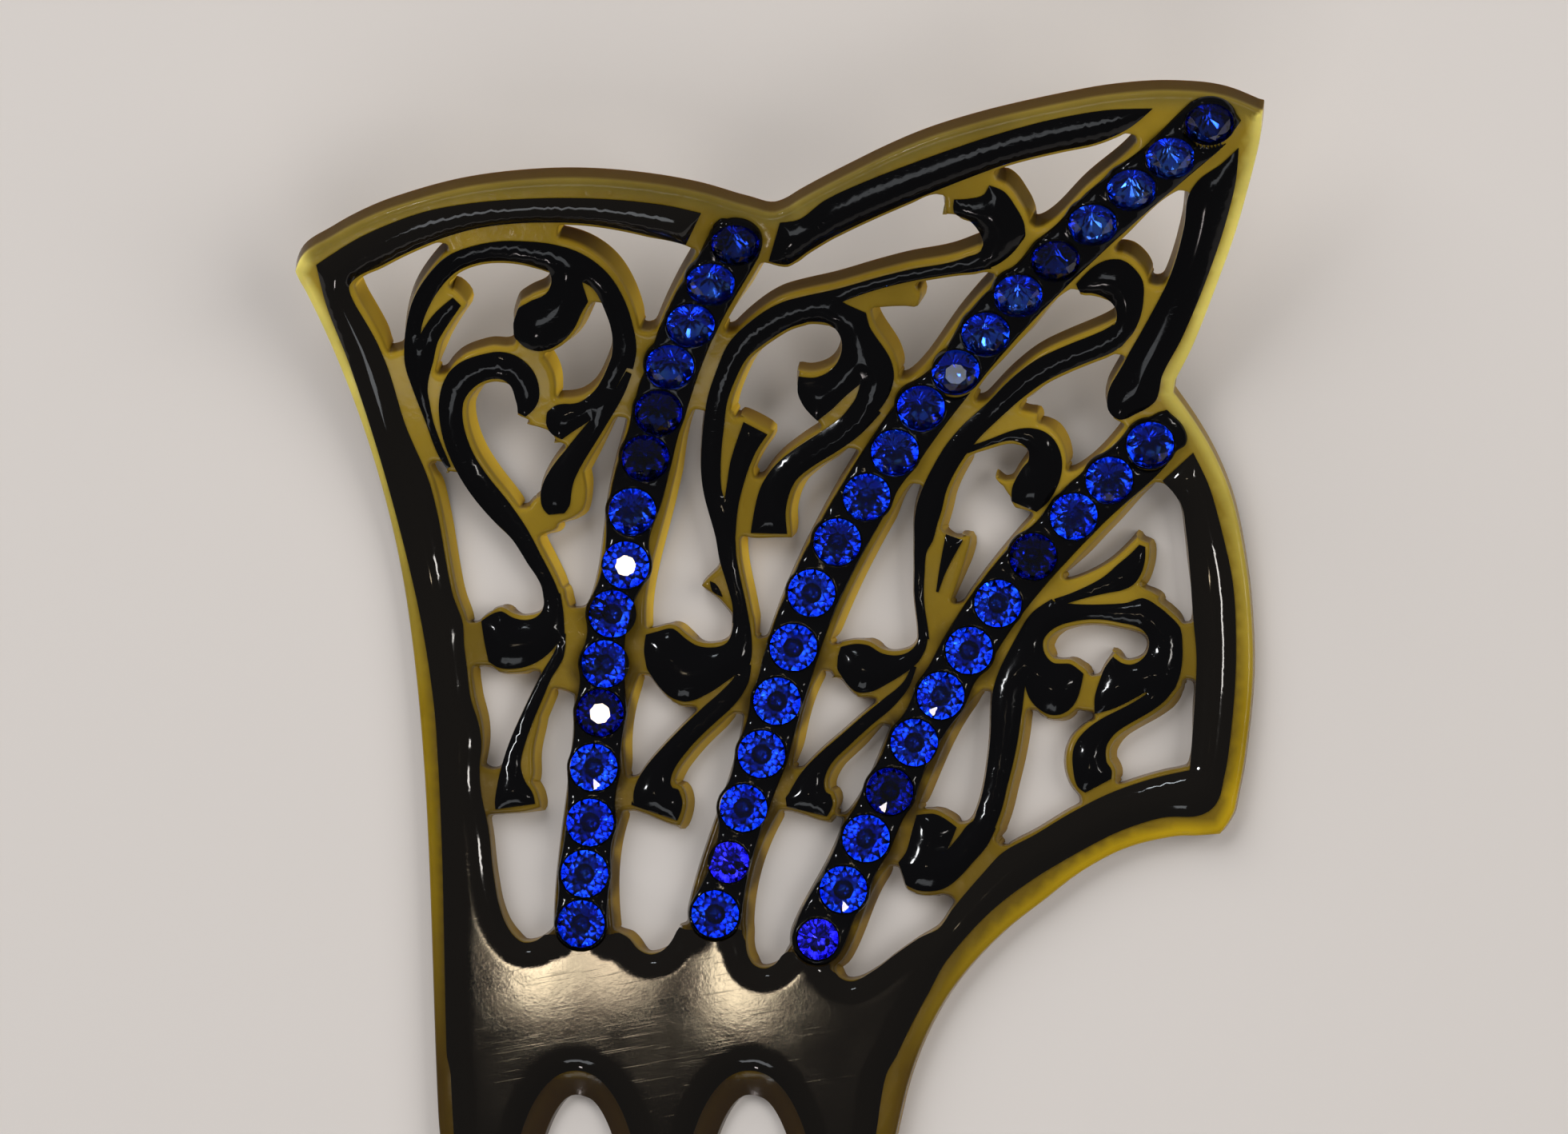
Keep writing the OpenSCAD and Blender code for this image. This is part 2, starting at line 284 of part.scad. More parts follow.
// Stroke rows of amber alone, which join the black strokes to each other
WEBS = [
    [[-17.6, 69.0, 1.2], [-14.5, 70.0, 1.4], [-11, 70.4, 1.6], [-8.4, 70.2, 1.6]],
    [[-22.1, 60.6, 1.6], [-20.8, 57, 1.9], [-19.5, 53.5, 1.6], [-18.9, 51.9, 1.0]],
    [[-1.4, 62.4, 1.8], [-1.9, 59.5, 1.8], [-2.7, 57, 1.7], [-3.1, 56.2, 1.0]],
    [[-12.4, 61.3, 0.8], [-10.4, 60.3, 1.0], [-9.4, 58.8, 1.0], [-9.4, 56.8, 1.2]],
    [[-11.2, 55.4, 0.9], [-9.6, 54.9, 0.9], [-8.6, 53.6, 0.7]],
    [[-10.9, 48.7, 0.8], [-10.1, 47.6, 2.6], [-9.4, 46.2, 1.6]],
    [[-7.1, 50.8, 1.2], [-6.85, 49.4, 1.1], [-7.0, 48.2, 0.9], [-8.6, 47.2, 0.6]],
    [[-7.2, 40.0, 1.4], [-7.3, 37, 2.4], [-7.8, 34.2, 2.6], [-8.2, 33.2, 1.4]],
    [[-10.4, 33.4, 0.9], [-10.6, 31.0, 1.0], [-11.1, 28.5, 1.0], [-11.1, 26.0, 0.9]],
    [[-16.6, 37.0, 3.6], [-14.2, 37.0, 3.4]],
    [[-15.6, 25.3, 3.8], [-13.2, 25.0, 2.9]],
    [[4.9, 62.3, 1.6], [4.1, 60.3, 1.7], [3.2, 58.7, 1.6]],
    [[6.9, 51.8, 0.7], [6.9, 49.8, 1.2], [6.7, 48.0, 1.1], [6.7, 46.2, 0.9]],
    [[5.5, 55.8, 0.5], [5.15, 53.5, 0.6], [4.9, 50.5, 0.5]],
    [[14.4, 65.0, 0.6], [16.5, 65.1, 1.6], [19, 65.2, 1.6], [20.9, 65.0, 1.2]],
    [[23.0, 71.6, 0.7], [22.9, 73.0, 1.0], [25.2, 74.0, 1.0], [26.8, 74.6, 1.3]],
    [[30.3, 70.4, 1.4], [28.9, 68.4, 1.5], [27.6, 67.3, 0.9]],
    [[-2.2, 37.6, 1.0], [-2.0, 36, 1.6], [-1.7, 34.6, 1.4]],
    [[-3.0, 25.6, 1.0], [-3.1, 24.4, 1.4], [-3.1, 23.4, 1.0]],
    [[7.9, 37.2, 1.2], [7.8, 35, 1.6], [7.2, 32.6, 1.4], [6.4, 31.2, 1.0]],
    [[9.3, 25.6, 1.0], [9.6, 24.4, 1.2], [9.8, 23.6, 0.8]],
    [[33.6, 67.0, 1.0], [34.7, 68.2, 1.0]],
    [[39.9, 66.0, 1.2], [39.4, 64.2, 1.3], [38.2, 61.9, 1.1]],
    [[25.4, 57.0, 0.9], [24.0, 55.4, 1.4], [22.4, 53, 1.2], [21.2, 50.6, 1.0]],
    [[26.6, 54.3, 0.8], [28.6, 55.3, 1.5], [30.6, 55.3, 0.8]],
    [[22.4, 46.4, 1.0], [22.0, 43.5, 1.1], [22.1, 40.0, 1.3], [22.1, 37.6, 1.0]],
    [[24.9, 45.9, 0.8], [24.2, 43.6, 0.9], [23.2, 41.2, 1.2], [22.5, 39, 0.9]],
    [[21.8, 37.4, 1.0], [20.9, 34.6, 1.2], [19.5, 32.4, 1.0], [18.8, 31.0, 0.6]],
    [[13.7, 36.8, 1.0], [13.9, 35.2, 1.2], [14.2, 34.4, 0.8]],
    [[30.9, 41.6, 1.6], [29.0, 38.4, 1.2], [27.6, 35.6, 1.1], [26.9, 33.9, 0.8]],
    [[31.0, 41.3, 1.6], [33.4, 41.8, 1.0], [36.2, 43.1, 0.9], [39.0, 45.7, 0.7]],
    [[34.5, 40.7, 0.9], [37, 40.9, 1.2], [39, 41.2, 1.1], [40.6, 40.6, 0.7]],
    [[42.6, 38.6, 1.4], [43.1, 36.4, 1.8], [43.1, 34.2, 1.4]],
    [[34.7, 31.6, 0.9], [34.9, 33.2, 0.9], [35.2, 34.4, 0.7]],
    [[35.6, 31.1, 0.6], [37.6, 31.8, 0.7], [39.4, 33.0, 0.4]],
    [[33.9, 24.7, 1.0], [35.4, 24.9, 1.2], [37.0, 25.5, 0.6]],
    [[34.9, 30.4, 0.6], [33.6, 29.2, 0.9], [33.05, 27.4, 0.8], [33.5, 25.8, 0.9], [34.4, 24.7, 0.9]],
    [[20.0, 22.7, 1.2], [19.3, 21.0, 1.0], [18.8, 19.3, 0.9]],
    [[23.2, 16.4, 1.1], [24.9, 18.2, 1.0], [26.6, 19.9, 1.0], [27.2, 20.9, 0.8]],
    [[24.2, 21.6, 0.7], [23.4, 20.4, 0.5]],
    [[37.4, 77.9, 1.5], [39.6, 79.4, 1.6], [41.3, 80.6, 1.6]],
    [[42.2, 73.8, 1.2], [44.0, 75.8, 1.4], [46.2, 77.9, 1.8]]];

// Channel tables, from the head down to the plate. Columns: x, y
LEFT_RUN = [[6.03, 69.55], [2.4, 63.3], [-1.35, 52.3], [-4.0, 39.5], [-5.65, 26.8], [-6.7, 14.1]];
MIDDLE_RUN = [
    [43.85, 78.85], [34.9, 71.1], [26.4, 62.5], [19.0, 52.9], [12.4, 41.2], [8.1, 27.9],
    [4.3, 14.9]];
RIGHT_RUN = [[39.85, 53.4], [33.5, 47.35], [27.5, 40.45], [22.75, 32.75], [18.65, 25.05], [12.72, 12.85]];

// Stones, one row for each, from the head down. Columns: x, y
LEFT_STONES = [
    [6.0, 69.5], [4.0, 66.4], [2.35, 63.1], [0.65, 59.75], [-0.3, 56.0], [-1.4, 52.3], [-2.5, 47.9],
    [-3.05, 43.5], [-4.15, 39.5], [-4.75, 35.4], [-5.15, 31.4], [-5.65, 26.9], [-5.95, 22.4],
    [-6.4, 18.2], [-6.7, 14.1]];
MIDDLE_STONES = [
    [43.85, 78.85], [40.8, 76.25], [37.8, 73.8], [34.75, 71.1], [31.85, 68.25], [28.9, 65.5],
    [26.3, 62.4], [23.9, 59.35], [21.1, 56.4], [19.0, 52.75], [16.7, 49.1], [14.3, 45.4],
    [12.2, 41.2], [10.7, 36.75], [9.35, 32.35], [8.1, 28.0], [6.6, 23.6], [5.4, 19.15], [4.3, 14.9]];
RIGHT_STONES = [
    [39.85, 53.4], [36.55, 50.5], [33.65, 47.5], [30.35, 44.2], [27.45, 40.35], [25.1, 36.5],
    [22.75, 32.8], [20.6, 28.95], [18.6, 24.95], [16.65, 21.1], [14.8, 16.9], [12.7, 12.85]];

function stone_names(run, count) = [for (i = [1:count]) str(run, "_stone_", i < 10 ? "0" : "", i)];

// Prongs. Columns: x at the plate, x at the tip
PRONGS = [[-14.2, -14.0], [-0.1, 0.0], [14.3, 14.0]];
prong_y = -17;  // where the prongs have come clear of the plate

// Smooth curves

// Direction of a curve at b, on its way from a to c
function bend_dir(a, b, c) = let (
    p = b - a, q = c - b,
    d = p / max(p * p, 1e-6) + q / max(q * q, 1e-6)) d / max(norm(d), 1e-6);
// One stretch from b to c, with unit directions u and v at its ends, in n steps
function stretch(b, c, u, v, n) = let (l = norm(c - b)) [
    for (i = [0:n - 1]) let (t = i / n, s = 1 - t)
        b * s * s * (1 + 2 * t) + c * t * t * (3 - 2 * t) + (u * s - v * t) * l * t * s];
function steps(b, c, straight) = straight ? 1 : max(2, ceil(norm(c - b) / facet));
function xy(r) = [r[0], r[1]];

// Closed outline of a table with columns x, y, corner
function outline(rows) = let (n = len(rows)) [
    for (i = [0:n - 1]) let (
        a = xy(rows[(i + n - 1) % n]), b = xy(rows[i]),
        c = xy(rows[(i + 1) % n]), d = xy(rows[(i + 2) % n]),
        sharp_b = rows[i][2] == 1, sharp_c = rows[(i + 1) % n][2] == 1,
        chord = (c - b) / norm(c - b),
        u = sharp_b ? chord : bend_dir(a, b, c),
        v = sharp_c ? chord : bend_dir(b, c, d))
    each stretch(b, c, u, v, steps(b, c, sharp_b && sharp_c))];

// Open curve through a table, with all its columns carried along
function run(rows, fineness) = let (n = len(rows)) concat([
    for (i = [0:n - 2]) let (
        b = rows[i], c = rows[i + 1],
        a = i == 0 ? 2 * b - c : rows[i - 1], d = i == n - 2 ? 2 * c - b : rows[i + 2],
        k = max(2, ceil(norm(c - b) / fineness)))
    each stretch(b, c, bend_dir(a, b, c), bend_dir(b, c, d), k)], [rows[n - 1]]);

// Polygon of a stroke: a curve with its width on each row, and a round end if wanted
function side(path, i, s) = let (
    n = len(path),
    t = xy(path[min(i + 1, n - 1)]) - xy(path[max(i - 1, 0)]),
    u = t / norm(t)) xy(path[i]) + s * path[i][2] / 2 * [-u[1], u[0]];
function round_end(c, u, r, n) = [
    for (i = [1:n - 1]) let (a = 180 * i / n) c + r * (cos(a) * [-u[1], u[0]] + sin(a) * u)];
function ribbon(rows, rounded = false) = let (
    path = run(rows, facet), n = len(path), c = path[n - 1], w = xy(c) - xy(path[n - 2])) concat(
    [for (i = [0:n - 1]) side(path, i, 1)],
    rounded ? round_end(xy(c), w / norm(w), c[2] / 2, 12) : [],
    [for (i = [n - 1:-1:0]) side(path, i, -1)]);

// Curl of the head: y on the plan, v along the face, tilt in degrees
curl_end = curl_y + curl_r * sin(curl_angle);
function tilt(y) = y < curl_y ? 0 : y < curl_end ? asin((y - curl_y) / curl_r) : curl_angle;
function along(y) = y < curl_y ? y
    : curl_y + curl_r * tilt(y) * PI / 180 + (y < curl_end ? 0 : (y - curl_end) / cos(curl_angle));
function face_z(y) = sheet_t + curl_r * (1 - cos(tilt(y)))
    + (y < curl_end ? 0 : (y - curl_end) * tan(curl_angle));

// Diameter of a stone: two were replaced by smaller ones
function stone_size(run_name, i) =
    run_name == "middle" && i == len(MIDDLE_STONES) - 2 || run_name == "right" && i == len(RIGHT_STONES) - 1
    ? small_stone_d : stone_d;

// Flat shapes

// A channel with its shaped end at the head and a round end at its last stone
module channel_2d(rows, end) {
    polygon(ribbon([for (r = rows) [r[0], r[1], channel_w]], true));
    polygon(outline(end));
}
module left_channel_2d() channel_2d(LEFT_RUN, LEFT_END);
module middle_channel_2d() channel_2d(MIDDLE_RUN, MIDDLE_END);
module right_channel_2d() channel_2d(RIGHT_RUN, RIGHT_END);

module left_ring_2d() {
    for (rows = [LEFT_RING, LEFT_BRANCH, LEFT_BLADE]) polygon(ribbon(rows));
    for (rows = [LEFT_BULB, LEFT_TURN]) polygon(outline(rows));
}
module left_stem_2d() {
    for (rows = [LEFT_STEM, LEFT_FOOT]) polygon(ribbon(rows));
    polygon(outline(LEFT_LEAF));
}
module middle_scroll_2d() {
    for (rows = [MIDDLE_ARCH, MIDDLE_BRANCH, MIDDLE_HANGER, MIDDLE_FOOT]) polygon(ribbon(rows));
    for (rows = [MIDDLE_CROWN, MIDDLE_BULB, MIDDLE_LEAF]) polygon(outline(rows));
}
module inner_scroll_2d() {
    for (rows = [INNER_STEM, INNER_HOOK, INNER_FOOT]) polygon(ribbon(rows));
    for (rows = [INNER_CROWN, INNER_LEAF]) polygon(outline(rows));
}
module right_scroll_2d() {
    for (rows = [RIGHT_STEM, RIGHT_HANGER, RIGHT_BLADE]) polygon(ribbon(rows));
    for (rows = [RIGHT_RING, RIGHT_LEAF]) polygon(outline(rows));
}
module inner_blade_2d() polygon(ribbon(INNER_BLADE));
module thorn_eye_2d() polygon(outline(THORN_EYE));

// Tops of the two gaps and their half widths, from the prongs on both sides
GAPS = [for (i = [0, 1]) let (mid = (PRONGS[i][0] + PRONGS[i + 1][0]) / 2)
    [mid, (PRONGS[i + 1][0] - PRONGS[i][0] - prong_w) / 2]];
// A gap is half an ellipse, widened by its bevel when w is 1
function gap_point(g, a, w) = let (side = bevel_low + (bevel_side - bevel_low) * sin(a))
    [(g[1] + w * side) * cos(a), prong_y * (1 - sin(a)) + w * bevel_top * sin(a)];
module gap_2d(g, w) translate([g[0], 0]) {
    arc = [for (i = [0:20]) gap_point(g, 90 * i / 20, w)];
    polygon(concat(arc, [for (i = [19:-1:0]) [-arc[i][0], arc[i][1]]]));
}

// Prongs, narrowed by w on each side
module prongs_2d(w) for (p = PRONGS) let (
    low = -prong_l + prong_tip_w / 2,
    half = [(p[0] + p[1]) / 2, (prong_y + low) / 2],
    rows = [[p[0], prong_y + 0.5, prong_w], [p[0], prong_y - 2, prong_w],
        [half[0], half[1], (prong_w * 2 + prong_tip_w) / 3], [p[1], low, prong_tip_w]])
        polygon(ribbon([for (r = rows) [r[0], r[1], r[2] - 2 * w]], true));

module amber_2d() {
    difference() {
        union() {
            polygon(outline(HEAD));
            prongs_2d(0);
        }
        openings_2d();
        for (g = GAPS) gap_2d(g, 0);
    }
}
// What is pierced: the inside of the frame less the strokes, channels and webs
module openings_2d() difference() {
    offset(delta = -frame_w) polygon(outline(HEAD));
    translate([-reach / 2, -reach]) square([reach, reach + 8]);
    offset(r = -web_r, $fn = 12) offset(r = web_r, $fn = 12) {
        offset(delta = margin) {
            polygon(outline(PLATE));
            polygon(outline(TOP_STRIP));
            polygon(outline(TIP_STRIP));
            left_ring_2d();
            left_stem_2d();
            middle_scroll_2d();
            inner_scroll_2d();
            right_scroll_2d();
        }
        offset(delta = channel_margin) {
            left_channel_2d();
            middle_channel_2d();
            right_channel_2d();
        }
        for (rows = WEBS) polygon(ribbon(rows));
        polygon(outline(THORN));
        polygon(outline(HOOK_TIP));
        polygon(ribbon([for (r = INNER_BLADE) [r[0], r[1], r[2] + 2 * margin]]));
    }
}
module plate_2d() beside_channels() difference() {
    union() {
        polygon(outline(PLATE));
        prongs_2d(bevel_low);
    }
    for (g = GAPS) gap_2d(g, 1);
}
// Keeps a shape clear of the three channels
module beside_channels() difference() {
    children();
    offset(delta = joint_gap) {
        left_channel_2d();
        middle_channel_2d();
        right_channel_2d();
    }
}

// Curled layers

// Everything between two heights on the face, following the curl
module layer(low, high) {
    translate([-reach, -reach, sheet_t + low]) cube([2 * reach, reach + curl_y, high - low]);
    intersection() {
        translate([-reach, curl_y, sheet_t + curl_r]) rotate([0, 90, 0]) difference() {
            cylinder(r = curl_r - low, h = 2 * reach, $fn = 180);
            translate([0, 0, -1]) cylinder(r = curl_r - high, h = 2 * reach + 2, $fn = 180);
        }
        translate([-reach, curl_y, sheet_t + curl_r]) rotate([curl_angle - 90, 0, 0])
            translate([0, 0, -reach]) cube([2 * reach, reach, reach]);
        translate([-reach, curl_y, sheet_t + curl_r - reach]) cube([2 * reach, reach, reach]);
    }
    translate([-reach, curl_end, face_z(curl_end)]) rotate([curl_angle, 0, 0])
        translate([0, 0, low]) cube([2 * reach, reach / 2, high - low]);
}
// Puts the centre of the comb's outline at the origin
module centred() {
    rim = outline(HEAD);
    xs = [for (q = rim) q[0]];
    ys = [for (q = rim) q[1]];
    translate([-(min(xs) + max(xs)) / 2, -(max(ys) - prong_l) / 2, 0]) children();
}
module upright() translate([0, 0, -5]) linear_extrude(60) children();
module relief() centred() intersection() {
    layer(lay_gap, relief_h);
    upright() children();
}
module on_face(p) translate([p[0], p[1], face_z(p[1])]) rotate([tilt(p[1]), 0, 0]) children();

// Sub-parts

module amber_sheet() color(amber) centred() intersection() {
    layer(-sheet_t, 0);
    upright() amber_2d();
}
module black_plate() color(black) relief() plate_2d();
module top_strip() color(black) relief() polygon(outline(TOP_STRIP));
module tip_strip() color(black) relief() polygon(outline(TIP_STRIP));
module left_ring() color(black) relief() beside_channels() left_ring_2d();
module left_stem() color(black) relief() beside_channels() left_stem_2d();
module thorn_eye() color(black) relief() thorn_eye_2d();
module middle_scroll() color(black) relief() beside_channels() middle_scroll_2d();
module inner_scroll() color(black) relief() beside_channels() inner_scroll_2d();
module inner_blade() color(black) relief() inner_blade_2d();
module right_scroll() color(black) relief() beside_channels() right_scroll_2d();

// A channel with a round seat for each of its stones
module channel(run_name, stones) color(black) difference() {
    relief() children();
    for (i = [0:len(stones) - 1]) centred() on_face(stones[i]) translate([0, 0, seat_floor])
        cylinder(d = stone_size(run_name, i) + 2 * seat_gap, h = 2, $fn = bore_fn);
}
module left_channel() channel("left", LEFT_STONES) left_channel_2d();
module middle_channel() channel("middle", MIDDLE_STONES) middle_channel_2d();
module right_channel() channel("right", RIGHT_STONES) right_channel_2d();

// A round stone: a girdle, eight kite facets with their halves, eight stars and a table
module stone(d) {
    table_r = d / 2 * table_share;
    kite_r = 0.78 * d / 2;
    rings = [
        [for (i = [0:15]) [d / 2 * cos(22.5 * i), d / 2 * sin(22.5 * i), 0]],
        [for (i = [0:15]) [d / 2 * cos(22.5 * i), d / 2 * sin(22.5 * i), girdle_h]],
        [for (i = [0:7]) [kite_r * cos(45 * i + 22.5), kite_r * sin(45 * i + 22.5), girdle_h + 0.55 * crown_h]],
        [for (i = [0:7]) [table_r * cos(45 * i), table_r * sin(45 * i), girdle_h + crown_h]]];
    points = [for (r = rings) each r];
    faces = concat(
        [[for (i = [0:15]) i]],
        [for (i = [0:15]) [i, 16 + i, 16 + (i + 1) % 16, (i + 1) % 16]],
        [for (i = [0:7]) each let (
            g0 = 16 + 2 * i, g1 = 16 + 2 * i + 1, g2 = 16 + (2 * i + 2) % 16,
            k = 32 + i, k1 = 32 + (i + 7) % 8, t = 40 + i, t1 = 40 + (i + 1) % 8)
            [[g0, k, g1], [g1, k, g2], [g0, t, k], [g0, k1, t], [t, t1, k]]],
        [[for (i = [7:-1:0]) 40 + i]]);
    polyhedron(points, faces);
}
module set_stone(run_name, stones, i) color(blue) centred() on_face(stones[i])
    translate([0, 0, seat_floor + seat_gap]) stone(stone_size(run_name, i));

amber_sheet();
black_plate();
top_strip();
tip_strip();
left_channel();
middle_channel();
right_channel();
left_ring();
left_stem();
middle_scroll();
thorn_eye();
inner_scroll();
inner_blade();
right_scroll();
for (i = [0:len(LEFT_STONES) - 1]) let (name = stone_names("left", len(LEFT_STONES))[i])
    set_stone("left", LEFT_STONES, i);
for (i = [0:len(MIDDLE_STONES) - 1]) let (name = stone_names("middle", len(MIDDLE_STONES))[i])
    set_stone("middle", MIDDLE_STONES, i);
for (i = [0:len(RIGHT_STONES) - 1]) let (name = stone_names("right", len(RIGHT_STONES))[i])
    set_stone("right", RIGHT_STONES, i);
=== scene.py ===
"""Mantilla comb: a curled sheet of translucent amber, a glossy black relief and three runs of blue stones.

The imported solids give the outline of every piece. Each detailed mesh is raised on that outline, along the
curled face of the comb, and works in millimetres until its mesh is made.
"""

import logging
import math
from dataclasses import dataclass, field
from enum import Enum

import bpy
import numpy as np
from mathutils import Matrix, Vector, geometry, kdtree

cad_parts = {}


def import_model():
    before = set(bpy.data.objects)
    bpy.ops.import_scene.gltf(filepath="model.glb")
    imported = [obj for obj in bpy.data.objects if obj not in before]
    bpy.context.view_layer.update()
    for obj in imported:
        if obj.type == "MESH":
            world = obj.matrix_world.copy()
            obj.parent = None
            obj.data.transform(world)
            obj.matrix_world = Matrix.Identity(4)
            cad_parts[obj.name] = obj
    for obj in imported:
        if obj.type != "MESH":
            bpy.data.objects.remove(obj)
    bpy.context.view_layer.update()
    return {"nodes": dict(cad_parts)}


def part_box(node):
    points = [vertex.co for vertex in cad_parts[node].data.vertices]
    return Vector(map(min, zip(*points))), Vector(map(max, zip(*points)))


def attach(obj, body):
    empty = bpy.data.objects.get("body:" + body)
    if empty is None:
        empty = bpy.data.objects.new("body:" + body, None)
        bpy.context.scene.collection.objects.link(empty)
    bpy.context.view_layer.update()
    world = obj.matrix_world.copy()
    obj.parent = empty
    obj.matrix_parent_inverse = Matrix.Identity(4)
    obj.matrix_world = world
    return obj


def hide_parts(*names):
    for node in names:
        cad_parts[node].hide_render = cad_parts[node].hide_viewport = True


LOG = logging.getLogger("comb")
MM = 0.001
TINY = 1e-9
CHUNK = 2000
ROW_STEP = math.sqrt(0.75)
IOR = 1.5
BODY = "root"


def unit(vectors: np.ndarray) -> np.ndarray:
    """Scales vectors to length one.

    Args:
        vectors: one vector, or rows of them.

    Returns:
        The same directions with length one.
    """
    return vectors / np.maximum(np.linalg.norm(vectors, axis=-1, keepdims=True), TINY)


def ease(values: np.ndarray, low: float, high: float) -> np.ndarray:
    """Rises smoothly from 0 to 1 between two values.

    Args:
        values: what is measured.
        low: where the rise starts.
        high: where it ends.

    Returns:
        Shares from 0 to 1.
    """
    share = np.clip((values - low) / (high - low), 0.0, 1.0)
    return share * share * (3.0 - 2.0 * share)


def fade(values: np.ndarray, low: float, high: float) -> np.ndarray:
    """Falls smoothly from 1 to 0 between two values."""
    return 1.0 - ease(values, low, high)


def window(values: np.ndarray, edges: tuple[float, float, float, float]) -> np.ndarray:
    """Rises from 0 to 1 between the first two edges and falls back between the last two.

    Args:
        values: what is measured.
        edges: the four edges in order.

    Returns:
        Shares from 0 to 1.
    """
    start, full, last, end = edges
    return ease(values, start, full) * fade(values, last, end)


def arc_rise(depth: np.ndarray, radius: np.ndarray) -> np.ndarray:
    """Share of the full height on a rounded shoulder.

    Args:
        depth: distance from the edge.
        radius: distance at which the shoulder ends.

    Returns:
        0 at the edge and 1 where the shoulder ends.
    """
    left = 1.0 - np.clip(depth / radius, 0.0, 1.0)
    return np.sqrt(np.maximum(1.0 - left * left, 0.0))


def domed_rise(depth: np.ndarray, radius: np.ndarray) -> np.ndarray:
    """Share of the full height on a low dome, whose slope is finite at its edge.

    Args:
        depth: distance from the edge.
        radius: distance at which the dome is level.

    Returns:
        0 at the edge and 1 where it is level.
    """
    left = 1.0 - np.clip(depth / radius, 0.0, 1.0)
    return 1.0 - left * left


def search_tree(plan: np.ndarray) -> kdtree.KDTree:
    """Makes a tree that finds the nearest of some points.

    Args:
        plan: rows of x, y.

    Returns:
        The tree, in which each point is known by its row.
    """
    tree = kdtree.KDTree(len(plan))
    for i, (x, y) in enumerate(plan):
        tree.insert((x, y, 0.0), i)
    tree.balance()
    return tree


def vertex_places(mesh: bpy.types.Mesh) -> np.ndarray:
    """Reads where a mesh's vertices are.

    Args:
        mesh: the mesh.

    Returns:
        Rows of x, y, z in metres.
    """
    places = np.empty(len(mesh.vertices) * 3)
    mesh.vertices.foreach_get("co", places)
    return places.reshape(-1, 3)


@dataclass(frozen=True)
class Curl:
    """The comb's face: flat up to a line, then bent round, then straight again. Sizes in millimetres."""

    start: float = 37.836
    radius: float = 50.0
    angle: float = math.radians(36.88)
    thickness: float = 2.0

    @property
    def end(self) -> float:
        """Y at which the bent stretch ends."""
        return self.start + self.radius * math.sin(self.angle)

    def tilt(self, y: np.ndarray) -> np.ndarray:
        """Slope of the face at y, in radians."""
        return np.arcsin(np.clip((y - self.start) / self.radius, 0.0, math.sin(self.angle)))

    def height(self, y: np.ndarray) -> np.ndarray:
        """Height of the face at y."""
        bent = self.radius * (1.0 - np.cos(self.tilt(y)))
        return self.thickness + bent + np.maximum(y - self.end, 0.0) * math.tan(self.angle)

    def place(self, plan: np.ndarray, rise: np.ndarray) -> np.ndarray:
        """Puts points of the plan on the face, or above or below it.

        Args:
            plan: rows of x, y.
            rise: height of each point above the face, square to it.

        Returns:
            Rows of x, y, z.
        """
        tilt = self.tilt(plan[:, 1])
        rise = np.broadcast_to(rise, tilt.shape)
        return np.column_stack([
            plan[:, 0],
            plan[:, 1] - np.sin(tilt) * rise,
            self.height(plan[:, 1]) + np.cos(tilt) * rise,
        ])


CURL = Curl()


@dataclass
class Loop:
    """A closed outline with the material on its left."""

    points: np.ndarray

    @property
    def area(self) -> float:
        """Signed area: above zero round a solid, below zero round an opening."""
        after = np.roll(self.points, -1, axis=0)
        return 0.5 * float(np.sum(self.points[:, 0] * after[:, 1] - self.points[:, 1] * after[:, 0]))

    def inward(self) -> np.ndarray:
        """Directions from each point into the material."""
        along = unit(np.roll(self.points, -1, axis=0) - np.roll(self.points, 1, axis=0))
        return np.column_stack([-along[:, 1], along[:, 0]])

    def smooth(self, spacing: float, corner: float = math.radians(42.0)) -> "Loop":
        """Steps evenly along a smooth curve through the points, which keeps the corners.

        Args:
            spacing: longest step.
            corner: turn above which a point is a sharp corner.

        Returns:
            The finer loop.
        """
        points = drop_straight(self.points)
        count = len(points)
        back = points - np.roll(points, 1, axis=0)
        ahead = np.roll(points, -1, axis=0) - points
        turn = np.arccos(np.clip(np.sum(unit(back) * unit(ahead), axis=1), -1.0, 1.0))
        sharp = turn > corner
        lengths = np.linalg.norm(ahead, axis=1)
        weigh = back / np.sum(back * back, axis=1, keepdims=True)
        heading = unit(weigh + ahead / np.sum(ahead * ahead, axis=1, keepdims=True))
        pieces = []
        for i in range(count):
            j = (i + 1) % count
            chord = ahead[i] / lengths[i]
            first = chord if sharp[i] else heading[i]
            last = chord if sharp[j] else heading[j]
            steps = max(1, math.ceil(lengths[i] / spacing))
            t = (np.arange(steps) / steps)[:, None]
            s = 1.0 - t
            pieces.append(
                points[i] * s * s * (1.0 + 2.0 * t) + points[j] * t * t * (3.0 - 2.0 * t)
                + (first * s - last * t) * lengths[i] * t * s
            )
        return Loop(np.vstack(pieces))

    def crisp(self, apex: tuple[float, float], reach: float) -> "Loop":
        """The loop with one sharp point in place of those near it.

        Args:
            apex: the sharp corner.
            reach: how near a point has to be.

        Returns:
            The loop, as it was if it stays clear of the corner.
        """
        near = np.hypot(*(self.points - apex).T) < reach
        if not near.any():
            return self
        first = int(np.argmax(near & ~np.roll(near, 1)))
        turned, hidden = np.roll(self.points, -first, axis=0), np.roll(near, -first)
        return Loop(np.vstack([[apex], turned[~hidden]]))

    def moved(self, offsets: np.ndarray) -> "Loop":
        """The loop with an offset added to each point."""
        return Loop(self.points + offsets)


